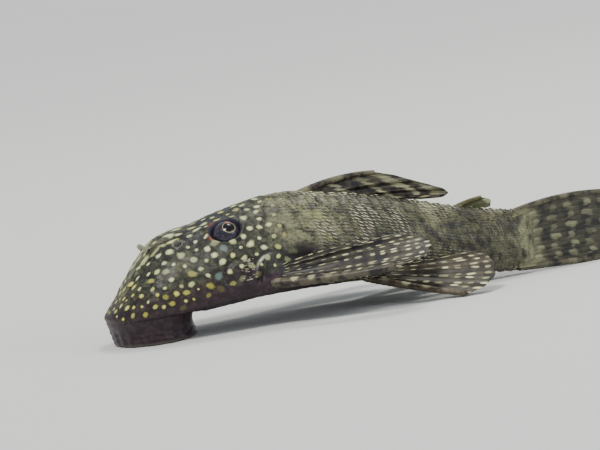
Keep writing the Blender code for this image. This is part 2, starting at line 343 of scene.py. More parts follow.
@dataclass(frozen=True)
class BodyForm:
    """The bare body, from its stations."""

    snout_round: float = 11.0
    tail_sway: float = 4.0
    sway_start: float = 44.0
    tail_close: float = 4.4  # length over which the stalk's end thins down on to the tail fin

    def value(self, x: Array, column: int) -> Array:
        """A station value at x, on a smooth curve through the stations.

        Args:
            x: Millimetres from the snout's tip.
            column: Which of the station values.

        Returns:
            One value for each x.
        """
        table = np.array(STATIONS)
        at, held = table[:, 0], table[:, column]
        x = np.clip(x, at[0], at[-1])
        i = np.clip(np.searchsorted(at, x, side="right") - 1, 0, len(at) - 2)
        order = np.arange(len(at))
        before, after = np.maximum(order - 1, 0), np.minimum(order + 1, len(at) - 1)
        slope = (held[after] - held[before]) / (at[after] - at[before])
        span = at[i + 1] - at[i]
        t = (x - at[i]) / span
        rise = (held[i + 1] - held[i]) / span
        bend = (slope[i] - rise) * (1 - t) * (1 - t) * t - (slope[i + 1] - rise) * (1 - t) * t * t
        return held[i] + (rise * t + bend) * span

    def half_width(self, x: Array) -> Array:
        """Half of the body's width at x, rounded in at the snout and at the stalk's end.

        Args:
            x: Millimetres from the snout's tip.

        Returns:
            Millimetres.
        """
        ahead = np.clip(1 - x / self.snout_round, 0, 1)
        past = np.clip((x - STANDARD_LENGTH) / self.tail_close, 0, 0.985)
        thinning = (0.5 + 0.5 * np.cos(math.pi * past)) ** 0.7
        return self.value(x, HALF_WIDTH) * np.sqrt(1 - ahead**2) * thinning

    def section(self, x: Array, angle: Array) -> Array:
        """The point at x on the body's outline. Angle 0 is the back, and a quarter turn the right flank.

        Args:
            x: Millimetres from the snout's tip.
            angle: Radians, 0 to a whole turn.

        Returns:
            Places in millimetres.
        """
        c, s = np.cos(angle), np.sin(angle)
        above = c >= 0
        power = 2 / np.where(above, self.value(x, ROUND_ABOVE), self.value(x, ROUND_BELOW))
        level = self.value(x, LEVEL)
        reach = np.where(above, self.value(x, TOP) - level, level - self.value(x, BOTTOM))
        past = np.clip((x - STANDARD_LENGTH) / self.tail_close, 0, 1)
        reach = reach * (1 - 0.22 * past**2)
        y = np.sign(s) * self.half_width(x) * np.abs(s) ** power
        z = level + np.sign(c) * reach * np.abs(c) ** power
        return np.stack(np.broadcast_arrays(x, y, z), axis=-1)

    def sway(self, x: Array) -> Array:
        """How far the tail's bend carries a point at x towards the right."""
        past = np.clip((x - self.sway_start) / (TOTAL_LENGTH - self.sway_start), 0, None)
        return self.tail_sway * past**2

    def world(self, points: Array) -> Array:
        """Points in the model's metres, from millimetres in the fish's frame. None goes below the floor."""
        x, y, z = np.moveaxis(points, -1, 0)
        return np.stack([x - TOTAL_LENGTH / 2, y + self.sway(x), np.maximum(z, 0)], axis=-1) / 1000

    def local(self, points: Array) -> Array:
        """Points in the fish's millimetres, from the model's metres.

        Args:
            points: Places in metres, with x, y, z last.

        Returns:
            Places in millimetres.
        """
        x, y, z = np.moveaxis(points * 1000, -1, 0)
        x = x + TOTAL_LENGTH / 2
        return np.stack([x, y - self.sway(x), z], axis=-1)


def make_peg(
    name: str, faces: tuple[int, int], line: tuple[Array, Array, Array], thick: Callable, form: BodyForm
) -> Piece:
    """A short straight round peg.

    Args:
        name: Its name.
        faces: How many faces go round it, and how many along it.
        line: Its root, its tip, and a direction that the ring's first point is square to.
        thick: Takes shares along it and returns its radius there.
        form: The body's form.

    Returns:
        The peg.
    """
    root, tip, hint = line
    ahead = unit(tip - root)
    one = unit(np.cross(ahead, hint))
    other = np.cross(ahead, one)

    def place(turn: Array, share: Array) -> Array:
        """Lays the globe out.

        Args:
            turn: Radians round the path.
            share: The share along it.

        Returns:
            Points in metres.
        """
        ring = one * np.cos(turn)[:, None] + other * np.sin(turn)[:, None]
        return form.world(root + (tip - root) * share[:, None] + ring * thick(share)[:, None])

    return round_body(name, *faces, place)


@dataclass(frozen=True)
class Relief:
    """The hard and soft forms that stand on the bare body, in millimetres."""

    eye: tuple[float, float, float]
    eye_axis: tuple[float, float, float]
    nostril: tuple[float, float, float]
    orbit_long: float = 3.25
    orbit_high: float = 2.75
    orbit_deep: float = 4.0  # how far along the eye's axis the orbit reaches
    plate_x: float = 27.2  # the middle of the cheek's plate, and half of its length and height
    plate_z: float = 11.9
    plate_long: float = 3.3
    plate_high: float = 2.9
    # The gill flap's pale edge is partly its own rim and partly a painted highlight
    flap: tuple[float, float] = (30.7, 13.7)  # x and z at the lower end of the gill flap's pale edge
    thin_coat: float = 0.05  # the depth of the spinules on the head, and of the scutes behind it
    thick_coat: float = 0.18

    def orbit_share(self, points: Array) -> Array:
        """How far out each point lies from an eye's axis, where the orbit's edge is 1.

        Args:
            points: Places in millimetres.

        Returns:
            One number for each point.
        """
        axis = np.array(self.eye_axis)
        long = unit(np.array([1.0, 0, 0]) - axis * axis[0])
        high = np.cross(axis, long)
        mirrored = np.stack([points[..., 0], np.abs(points[..., 1]), points[..., 2]], axis=-1)
        away = mirrored - np.array(self.eye)
        apart = np.clip(np.abs(away @ axis) - self.orbit_deep, 0, None)
        across = (away @ long / self.orbit_long) ** 2 + (away @ high / self.orbit_high) ** 2
        return np.sqrt(across + apart**2)

    def height(self, points: Array) -> Array:
        """How far the finished surface stands over the bare one.

        Args:
            points: Places in millimetres.

        Returns:
            Millimetres outwards.
        """
        x, y, z = points[..., 0], np.abs(points[..., 1]), points[..., 2]
        mirrored = np.stack([x, y, z], axis=-1)
        total = self.orbits(points) + self.nostrils(mirrored) + self.snout(x, y, z)
        total += self.crown(x, y, z) + self.cheek(x, y, z) + self.shoulder(x, y, z)
        calm = ramp(x, 1.0, 5.0)
        total += calm * 0.06 * waves(points, 5.0, 3) + calm * 0.045 * waves(points, 1.7, 4)
        coat = self.thin_coat + (self.thick_coat - self.thin_coat) * ramp(x, 35.0, 39.0)
        return total - 0.12 * self.seams(points) - coat * ramp(x, 1.0, 5.0)

    def orbits(self, points: Array) -> Array:
        """A bony rim round each eye, with soft skin that dips inside it."""
        share = self.orbit_share(points)
        return 0.34 * bump(share - 1.14, 0.16) - 0.75 * ramp(share, 1.05, 0.82)

    def nostrils(self, mirrored: Array) -> Array:
        """A raised ring with a pit in it, and a flap that parts the pit.

        Args:
            mirrored: Places with y made positive.

        Returns:
            Millimetres outwards.
        """
        away = np.linalg.norm(mirrored - np.array(self.nostril), axis=-1)
        flap = bump(mirrored[..., 0] - self.nostril[0], 0.22) * bump(away, 0.8)
        return 0.42 * bump(away - 1.05, 0.24) - 0.6 * bump(away, 0.72) + 0.42 * flap

    def snout(self, x: Array, y: Array, z: Array) -> Array:
        """The raised band along the snout's middle, and the fold above its soft margin.

        Args:
            x: Millimetres from the snout's tip.
            y: Millimetres from the middle plane, 0 or more.
            z: Millimetres above the floor.

        Returns:
            Millimetres outwards.
        """
        along = ramp(x, 2.5, 6.0) * ramp(x, 21.0, 16.0)
        band = 0.42 * ramp(y, 3.9, 3.0) * along - 0.14 * bump(y - 4.1, 0.35) * along
        ridge = 0.3 * bump(y - 6.3 - 0.05 * (x - 18), 0.9) * ramp(x, 17.5, 20) * ramp(x, 31, 27)
        margin = ramp(x, 24.0, 15.0) * ramp(x, 0.5, 3.0)
        fold = 0.28 * bump(z - 5.7 - 0.05 * x, 0.55) - 0.16 * bump(z - 6.9 - 0.06 * x, 0.35)
        return band + ridge + margin * fold * ramp(y, 2.0, 5.0)

    def crown(self, x: Array, y: Array, z: Array) -> Array:
        """The low crest on the back of the skull."""
        return 0.35 * bump(y, 1.9) * ramp(x, 28.0, 34.0) * ramp(x, 47.0, 41.0) * ramp(z, 15.0, 18.0)

    def seams(self, points: Array) -> Array:
        """How deep each point lies in a seam of the skull's shields or in a fold of the snout, 0 to 1.

        Args:
            points: Places in millimetres.

        Returns:
            One number for each point.
        """
        x, y, z = points[..., 0], np.abs(points[..., 1]), points[..., 2]
        wander = 0.45 * waves(points, 4.6, 8)
        above = ramp(z, 17.0, 20.0)
        lines = bump(x - 31.2 + 0.10 * y**1.5 + wander, 0.2) + bump(x - 36.8 + 0.32 * y + wander, 0.2)
        lines += bump(y - 4.6 - 0.22 * (x - 31) + wander, 0.2) * ramp(x, 30.8, 31.4) * ramp(x, 38, 36)
        lines += bump(y - 3.9 + wander, 0.2) * ramp(x, 20.5, 22.0) * ramp(x, 31.5, 30.5)
        folds = np.zeros_like(x)
        for k, at in enumerate((0.9, 2.0, 3.3, 4.6, 5.7)):
            folds += bump(y - at - 0.3 * np.sin(0.95 * x + 1.7 * k) - 0.25 * wander, 0.17)
        snout = ramp(x, 4.0, 7.5) * ramp(x, 23.0, 19.0) * ramp(z, 9.0, 13.0)
        return np.clip(above * lines + 0.85 * snout * folds * (0.6 + 0.4 * waves(points, 3.4, 9)), 0, 1)

    def cheek(self, x: Array, y: Array, z: Array) -> Array:
        """The cheek's movable plate, the pocket of its spines and the slit of the gill behind it.

        Args:
            x: Millimetres from the snout's tip.
            y: Millimetres from the middle plane, 0 or more.
            z: Millimetres above the floor.

        Returns:
            Millimetres outwards.
        """
        low = ramp(y, 7.0, 9.0)
        plate = np.hypot((x - self.plate_x) / self.plate_long, (z - self.plate_z) / self.plate_high)
        total = 0.36 * ramp(plate, 1.0, 0.66) - 0.24 * bump(plate - 1.1, 0.12) - 0.5 * bump(plate, 0.5)
        slit = x - self.slit(z)
        edges = 0.12 * bump(slit + 0.75, 0.6) - 0.4 * bump(slit, 0.4)
        return low * (total + ramp(z, 15.2, 14.2) * ramp(z, 7.0, 11.5) * edges)

    def slit(self, z: Array) -> Array:
        """Where the gill's slit runs along x, at each height."""
        return 30.6 + 0.36 * (z - 10.5) - 0.05 * np.clip(9.5 - z, 0, None) ** 2

    def flap_edge_and_glint(self, points: Array) -> Array:
        """How near each point is to the pale upper edge of the gill's flap, 0 to 1, which is painted pale
        partly as its own rim and partly as a painted highlight.

        Args:
            points: Places in millimetres.

        Returns:
            One number for each point.
        """
        behind, above = points[..., 0] - self.flap[0], points[..., 2] - self.flap[1]
        along = behind * 0.82 + above * 0.57
        aside = behind * 0.57 - above * 0.82
        near = bump(aside - 0.12 * (along - 1.0) ** 2, 0.24) * bump(along - 1.0, 1.4)
        return near * (np.abs(points[..., 1]) > 8)

    def shoulder(self, x: Array, y: Array, z: Array) -> Array:
        """The hollow behind the gill, the bone that bears the pectoral spine, and the pelvic fin's seat.

        Args:
            x: Millimetres from the snout's tip.
            y: Millimetres from the middle plane, 0 or more.
            z: Millimetres above the floor.

        Returns:
            Millimetres outwards.
        """
        low = ramp(y, 6.0, 8.5)
        hollow = bump(x - 39.0, 4.2) * bump(z - 13.0, 2.0)
        bone = bump(x - 32.4, 2.2) * bump(z - 8.6, 1.6)
        seat = bump(x - 54.5, 2.6) * bump(z - 6.3, 1.5) * ramp(y, 3.0, 5.0)
        return low * (0.6 * bone - 0.85 * hollow) + 0.35 * seat


@dataclass
class BodySurface:
    """The body's finished surface, as a fine table that any (x, share) can be read from."""

    form: BodyForm
    columns: int = 960
    xs: Array = field(init=False)
    points: Array = field(init=False)
    normals: Array = field(init=False)
    relief: Relief = field(init=False)

    def __post_init__(self) -> None:
        """Works out the bare table, then stands the relief on it."""
        tip = 6.0 * (1 - np.cos(np.linspace(0.075, math.pi / 2, 84, endpoint=False)))
        end = STANDARD_LENGTH + self.form.tail_close * np.linspace(0, 1, 25)[1:]
        trunk = np.linspace(38, STANDARD_LENGTH, 260, endpoint=False)
        head = np.linspace(6, 38, 266, endpoint=False)
        self.xs = np.concatenate([tip, head, trunk, [STANDARD_LENGTH], end])
        self.points = self.even_rings()
        self.normals = self.outward()
        self.relief = self.make_relief()
        self.points = self.points + self.normals * self.relief.height(self.points)[..., None]
        self.normals = self.outward()

    def even_rings(self) -> Array:
        """Points evenly spaced round the body at each x.

        Returns:
            The table of points.
        """
        angle = np.linspace(0, 2 * math.pi, 1441)
        wanted = np.arange(self.columns) / self.columns
        dense = self.form.section(self.xs[:, None], angle[None, :])
        steps = np.linalg.norm(np.diff(dense, axis=1), axis=-1)
        way = np.concatenate([np.zeros((len(self.xs), 1)), np.cumsum(steps, axis=1)], axis=1)
        even = np.array([np.interp(wanted * row[-1], row, angle) for row in way])
        return self.form.section(self.xs[:, None], even)

    def outward(self) -> Array:
        """The surface's outward direction at each place in the table.

        Returns:
            The table of directions.
        """
        along = np.gradient(self.points, axis=0)
        around = np.roll(self.points, -1, axis=1) - np.roll(self.points, 1, axis=1)
        return unit(np.cross(along, around))

    def make_relief(self) -> Relief:
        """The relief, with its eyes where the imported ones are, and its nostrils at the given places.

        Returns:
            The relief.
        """
        low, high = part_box("eye_right")
        eye = self.form.local(np.array((low + high) / 2))
        axis = self.read(self.normals, *self.above(EYE_X, EYE_Y))
        nostril = self.read(self.points, *self.above(NOSTRIL_X, NOSTRIL_Y))
        return Relief(tuple(eye), tuple(axis), tuple(nostril))

    def above(self, x: float, y: float) -> tuple[float, float]:
        """The (x, share) of the upper surface at x and y.

        Args:
            x: Millimetres from the snout's tip.
            y: Millimetres towards the right side.

        Returns:
            The x and the share.
        """
        row = self.points[int(np.argmin(np.abs(self.xs - x)))]
        upper = int(np.argmax(row[: self.columns // 2, 1]))
        share = float(np.interp(abs(y), row[:upper, 1], np.arange(upper) / self.columns))
        return x, share if y >= 0 else 1 - share

    def read(self, table: Array, x: Array, share: Array) -> Array:
        """A table's value at each (x, share).

        Args:
            table: Points, directions or numbers.
            x: Millimetres from the snout's tip.
            share: Shares round the body.

        Returns:
            One row or number for each place.
        """
        x, share = np.broadcast_arrays(np.asarray(x, float), np.asarray(share, float))
        row = np.interp(x, self.xs, np.arange(len(self.xs)))
        column = (share % 1.0) * self.columns
        i = np.clip(row.astype(int), 0, len(self.xs) - 2)
        j = column.astype(int) % self.columns
        down, over = row - i, column - column.astype(int)
        if table.ndim == 3:
            down, over = down[..., None], over[..., None]
        k = (j + 1) % self.columns
        first = table[i, j] * (1 - over) + table[i, k] * over
        second = table[i + 1, j] * (1 - over) + table[i + 1, k] * over
        return first * (1 - down) + second * down

    def place(self, x: Array, share: Array, lift: Array | float = 0.0) -> Array:
        """Points in millimetres that stand lift over the surface."""
        raised = np.asarray(lift)[..., None] * unit(self.read(self.normals, x, share))
        return self.read(self.points, x, share) + raised

    def unwrap(self, x: Array, share: Array) -> Array:
        """A place's coordinates on the unwrap of the body."""
        return np.stack([0.02 + 0.96 * x / (STANDARD_LENGTH + 3), 0.02 + 0.96 * share], axis=-1)


# The markings, which the skin and all that stands on it share


@dataclass
class Markings:
    """Pale spots on the head and body, and the broader colours under them."""

    surface: BodySurface
    seed: int = 7
    cold: tuple[tuple[float, float], ...] = ((24.7, 16.5), (22.6, 13.2))  # x and z of the cold spots
    centres: Array = field(init=False)
    radii: Array = field(init=False)
    tints: Array = field(init=False)
    strengths: Array = field(init=False)
    stretches: Array = field(init=False)
    directions: Array = field(init=False)

    def __post_init__(self) -> None:
        """Scatters the spots, each at its own distance from those before it."""
        draw = np.random.default_rng(self.seed)
        x = 1.0 + 89.5 * draw.random(26000) ** 1.35
        share = draw.random(26000)
        points = self.surface.place(x, share)
        spacing, radius, strength = self.habit(points)
        kept: list[int] = []
        for i in np.flatnonzero(strength > 0.05):
            near = np.array(kept, dtype=int)
            if kept and (np.linalg.norm(points[near] - points[i], axis=1) < spacing[i]).any():
                continue
            kept.append(i)
        chosen = np.array(kept)
        self.centres = points[chosen]
        size = draw.random(len(chosen))
        self.radii = radius[chosen] * (0.62 + 0.72 * size)
        dim = draw.random(len(chosen)) * (0.35 + 0.65 * size)  # the larger a spot is, the dimmer it may be
        self.strengths = np.clip(strength[chosen] * (1.2 - 0.85 * dim), 0, 1)
        top = ramp(np.abs(points[chosen][:, 1]), 7.5, 4.0) * ramp(x[chosen], 25, 19) * ramp(x[chosen], 3, 9)
        behind = ramp(x[chosen], 37, 42)
        self.stretches = draw.uniform(1.0, 1.45, len(chosen)) + 1.1 * top + 1.5 * behind
        self.tints = self.tint(points[chosen], draw.random(len(chosen)))
        for x_cold, z_cold in self.cold:
            for side in Side:
                away = np.hypot(self.centres[:, 0] - x_cold, self.centres[:, 2] - z_cold)
                i = int(np.argmin(away + 99 * (self.centres[:, 1] * side.value < 0)))
                self.tints[i], self.radii[i], self.strengths[i], self.stretches[i] = 1.0, 0.78, 0.7, 1.1
        ahead = self.surface.place(x[chosen] + 0.2, share[chosen]) - points[chosen]
        normal = self.surface.read(self.surface.normals, x[chosen], share[chosen])
        aside = np.cross(normal, unit(ahead))
        aside = aside * -np.sign(aside[:, 2:3])
        lean = (draw.normal(0.3, 0.45, len(chosen)) * (1 - behind) + 0.8 * behind)[:, None]
        self.directions = unit(unit(ahead) + aside * lean)

    def habit(self, points: Array) -> tuple[Array, Array, Array]:
        """How the spots grow at each point: their spacing, radius and strength.

        Args:
            points: Places in millimetres.

        Returns:
            Millimetres, millimetres, and 0 to 1.
        """
        x, z = points[:, 0], points[:, 2]
        low = ramp(z, 14.5, 9.5) * ramp(x, 24.0, 16.0)
        spacing = 1.95 - 0.35 * low + 0.9 * ramp(x, 36, 46)
        radius = 0.54 - 0.13 * np.maximum(low, ramp(x, 8, 3)) + 0.12 * ramp(x, 36, 50)
        strength = 1 - 0.78 * ramp(x, 33, 39.5) - 0.14 * ramp(x, 44, 54)
        strength *= ramp(self.above_belly(points), -0.3, 0.6) * ramp(self.hollow_shade(points), 0.9, 0.5)
        strength *= self.surface.relief.orbit_share(points) > 1.2
        strength *= self.surface.relief.flap_edge_and_glint(points) < 0.15
        strength *= np.linalg.norm(np.abs(points) - self.surface.relief.nostril, axis=1) > 1.7
        return spacing, radius, strength

    def tint(self, points: Array, chance: Array) -> Array:
        """Each spot's tint: 0 is cream, 0.5 is yellow and 1 is a cold grey green.

        Args:
            points: Places in millimetres.
            chance: A random number for each spot, 0 to 1.

        Returns:
            One tint for each spot.
        """
        x, z = points[:, 0], points[:, 2]
        yellow = 0.18 + 0.3 * ramp(z, 15, 10) * ramp(x, 30, 18)
        return np.clip(yellow + 0.35 * (chance - 0.5), 0, 0.55)

    def above_belly(self, points: Array) -> Array:
        """How many millimetres each point lies above the edge of the soft underside, whose dark is partly
        painted shade.

        Args:
            points: Places in millimetres.

        Returns:
            Millimetres, below 0 on the underside.
        """
        x, z = points[..., 0], points[..., 2]
        marks = [0, 4, 8, 16, 20, 24, 28, 34, 38, 42, 50, 60, 80]
        edge = np.interp(x, marks, [5.5, 6.0, 6.4, 7.6, 8.8, 10.2, 11.1, 11.4, 10.4, 8.2, 6.6, 5.2, 1.8])
        return z - edge + 0.35 * waves(points, 6.0, 11) + 0.25 * waves(points, 2.2, 12)

    def hollow_shade(self, points: Array) -> Array:
        """Where painted shade darkens the pit behind the pectoral spine and the pocket of the cheek's
        spines, 0 to 1.

        Args:
            points: Places in millimetres.

        Returns:
            One number for each point.
        """
        x, y, z = points[..., 0], np.abs(points[..., 1]), points[..., 2]
        pit = bump(x - 40.6, 4.6) * bump(z - 13.4, 2.3) * ramp(y, 5.5, 8.5)
        pocket = bump(x - 28.5, 1.8) * bump(z - 11.8, 2.1) * ramp(y, 7.0, 9.0)
        return np.clip(1.15 * pit + 1.5 * pocket, 0, 1)

    def underside_dark_and_shade(self, points: Array) -> Array:
        """Where the hide is painted dark purple brown, 0 to 1: below and half way up the face, partly as
        its own colour and partly as painted shade, and in the hollows as painted shade.

        Args:
            points: Places in millimetres.

        Returns:
            One number for each point.
        """
        above = self.above_belly(points)
        soft = 0.8 * ramp(above, 5.2, 1.2) * ramp(points[..., 0], 30, 22)
        return np.clip(np.maximum(ramp(above, 0.9, -0.7), soft) + self.hollow_shade(points), 0, 1)

    def khaki(self, points: Array) -> Array:
        """Where the shoulder and parts of the flank turn pale, 0 to 1.

        Args:
            points: Places in millimetres.

        Returns:
            One number for each point.
        """
        x, z = points[..., 0], points[..., 2]
        shoulder = 2.0 * bump(x - 42.0, 6.5) * ramp(z, 12.5, 17.0)
        saddle = 0.8 * bump(x - 70.5, 3.2) * ramp(z, 10, 15) + 0.4 * bump(x - 84.0, 2.2)
        saddle = saddle + 0.2 * ramp(x, 45, 50)
        base = 0.9 * ramp(x - 0.06 * (z - 8) ** 2, 86.5, 90.0)
        face = 0.15 * bump(x - 17.0, 6.5) * ramp(z, 8.0, 11.5) * ramp(z, 20.0, 16.0)
        snout = 0.6 * ramp(np.abs(points[..., 1]), 4.6, 3.2) * ramp(x, 1.5, 4.0) * ramp(x, 19.0, 14.0)
        return np.clip(shoulder + saddle + base + face + snout, 0, 1)

    def marks(self, points: Array) -> Array:
        """How deep each point lies in a spot, 0.5 at a spot's edge, and that spot's tint and strength.

        Args:
            points: Places in millimetres.

        Returns:
            A row of three numbers for each point.
        """
        order = np.argsort(points[:, 0])
        sorted_x = points[order, 0]
        found = np.zeros((len(points), 3))
        reach = self.radii * self.stretches * 2
        starts = np.searchsorted(sorted_x, self.centres[:, 0] - reach)
        ends = np.searchsorted(sorted_x, self.centres[:, 0] + reach)
        for spot, (start, end) in enumerate(zip(starts, ends)):
            some = order[start:end]
            away = points[some] - self.centres[spot]
            along = away @ self.directions[spot]
            square = np.einsum("ij,ij->i", away, away) - along**2 * (1 - self.stretches[spot] ** -2)
            depth = 1 - 0.5 * np.sqrt(np.clip(square, 0, None)) / self.radii[spot]
            better = depth > found[some, 0]
            found[some[better], 0] = depth[better]
            found[some[better], 1] = self.tints[spot]
            found[some[better], 2] = self.strengths[spot]
        return found

    def zones(self, points: Array) -> Array:
        """For each point: the dark underside with its painted shade, the skin round the eye, and the rusty
        patch before the eye.

        Args:
            points: Places in millimetres.

        Returns:
            A row of three numbers for each point.
        """
        share = self.surface.relief.orbit_share(points - [-0.15, 0, 0.3])
        eye = np.array(self.surface.relief.eye)
        orbit = ramp(share, 1.2, 1.04)
        forward = ramp(eye[0] - points[:, 0], 1.7, 2.5)
        broken = 0.55 + 0.45 * waves(points, 1.6, 35)
        rust = 1.3 * forward * bump(share - 1.1, 0.13) * ramp(points[:, 2], 24.0, 21.8)
        rust = rust * np.clip(broken, 0, 1)
        return np.stack([self.underside_dark_and_shade(points), orbit, rust], axis=-1)

    def washes(self, points: Array) -> Array:
        """For each point: how brown it is, as low on the flank, how blue, as on the nape, where the blue is
        partly a painted sheen, and how calm.

        Args:
            points: Places in millimetres.

        Returns:
            A row of three numbers for each point.
        """
        x, z = points[:, 0], points[:, 2]
        brown = 0.8 * ramp(x, 38, 46) * ramp(z + 2.0 * waves(points, 9.0, 37), 17.5, 12.0) * ramp(x, 92, 84)
        brown = brown + 0.75 * ramp(z, 12.5, 8.5) * ramp(x, 25, 15)
        blue_and_sheen = ramp(np.abs(points[:, 1]), 10.5, 6.5) * ramp(x, 8, 18) * ramp(x, 36, 30)
        calm = ramp(x, 34.0, 42.0)
        return np.stack([np.clip(brown, 0, 1), blue_and_sheen, calm], axis=-1)

    def paint(
        self,
        piece: Piece,
        points: Array,
        crest: Array,
        groove_and_shade: Array,
        plain: Array | float = 0.0,
    ) -> None:
        """Stores the markings on a piece.

        Args:
            piece: The mesh object.
            points: For each vertex, the place in millimetres whose colour it wears.
            crest: How far each vertex is painted pale, as on a worn edge or tip, and on the flank's
                spinules and ridges and the gill's flap partly as a painted glint.
            groove_and_shade: How deep each vertex lies in a seam or a recess, darkened partly as a dark
                joint and partly as painted shade.
            plain: 1 where the hide is pale and has no spots or seams.
        """
        marks = self.marks(points)
        marks[:, 2] *= 1 - plain
        set_vectors(piece, "marks", marks)
        set_vectors(piece, "zones", self.zones(points))
        set_vectors(piece, "washes", self.washes(points))
        pale = np.clip(self.khaki(points) + plain, 0, 1)
        set_vectors(piece, "lines", np.stack([pale, crest, groove_and_shade * (1 - plain)], axis=-1))


# Materials


def linear(code: str) -> tuple[float, float, float, float]:
    """A colour from its sRGB hex value, as linear numbers with an alpha of 1."""
    shares = [int(code[i : i + 2], 16) / 255 for i in (1, 3, 5)]
    return (*(s / 12.92 if s <= 0.04045 else ((s + 0.055) / 1.055) ** 2.4 for s in shares), 1.0)


def per_mm(size: float) -> float:
    """The scale that makes a pattern's features about size millimetres across, on coordinates in metres."""
    return 1000 / size


def connect(tree: Tree, node: bpy.types.Node, inputs: dict) -> None:
    """Links or sets a node's inputs.

    Args:
        tree: The material's nodes.
        node: The node.
        inputs: For each input, by name or number, a socket to link or a value.
    """
    for key, value in inputs.items():
        if isinstance(value, Socket):
            tree.links.new(value, node.inputs[key])
        else:
            node.inputs[key].default_value = value


def add(
    tree: Tree, kind: str, inputs: dict | None = None, out: int | str = 0, **settings: object
) -> Socket:
    """Adds a node with its settings and links.

    Args:
        tree: The material's nodes.
        kind: The node's type, without the ShaderNode before it.
        inputs: For each input, by name or number, a socket to link or a value.
        out: Which of its outputs is wanted.
        settings: The node's own settings.

    Returns:
        The output's socket.
    """
    node = tree.nodes.new("ShaderNode" + kind)
    for name, value in settings.items():
        setattr(node, name, value)
    connect(tree, node, inputs or {})
    return node.outputs[out]


def stored(tree: Tree, name: str) -> list[Socket]:
    """The three numbers of a vector that set_vectors has stored."""
    read = add(tree, "Attribute", out="Vector", attribute_name=name)
    return list(add(tree, "SeparateXYZ", {0: read}).node.outputs)


@dataclass(frozen=True)
class Layer:
    """One colour of a finish, laid over those before it, and how much of it shows."""

    colour: str | Socket
    share: Socket
    step: tuple[float, float] | None = None  # where the share's smooth step starts and ends
    times: tuple[float | Socket, ...] = ()  # what the share is then multiplied by


def lay(tree: Tree, ground: str | Socket, layers: Sequence[Layer]) -> Socket:
    """Lays colours over a ground colour in turn.

    Args:
        tree: The material's nodes.
        ground: The first colour.
        layers: What goes over it.

    Returns:
        The finished colour.
    """
    colour = linear(ground) if isinstance(ground, str) else ground
    for layer in layers:
        share = layer.share
        if layer.step:
            span = {"Value": share, "From Min": layer.step[0], "From Max": layer.step[1]}
            share = add(tree, "MapRange", span, interpolation_type="SMOOTHSTEP")
        for factor in layer.times:
            share = add(tree, "Math", {0: share, 1: factor}, operation="MULTIPLY")
        over = linear(layer.colour) if isinstance(layer.colour, str) else layer.colour
        colour = add(tree, "Mix", {0: share, 6: colour, 7: over}, 2, data_type="RGBA")
    return colour


@dataclass(frozen=True)
class Finish:
    """What every finish has: a name, and the nodes that it starts and ends with."""

    name: str
    roughness: float = 0.5

    def begin(self) -> tuple[Material, Tree, Socket]:
        """Starts the material.

        Returns:
            The material, its nodes, and the place on the piece that its patterns read.
        """
        made = bpy.data.materials.new(self.name)
        made.use_nodes = True
        return made, made.node_tree, add(made.node_tree, "TexCoord", out="Object")

    def end(self, tree: Tree, inputs: dict) -> None:
        """Links or sets the shader's inputs, each with a socket or a value."""
        connect(tree, tree.nodes["Principled BSDF"], inputs)


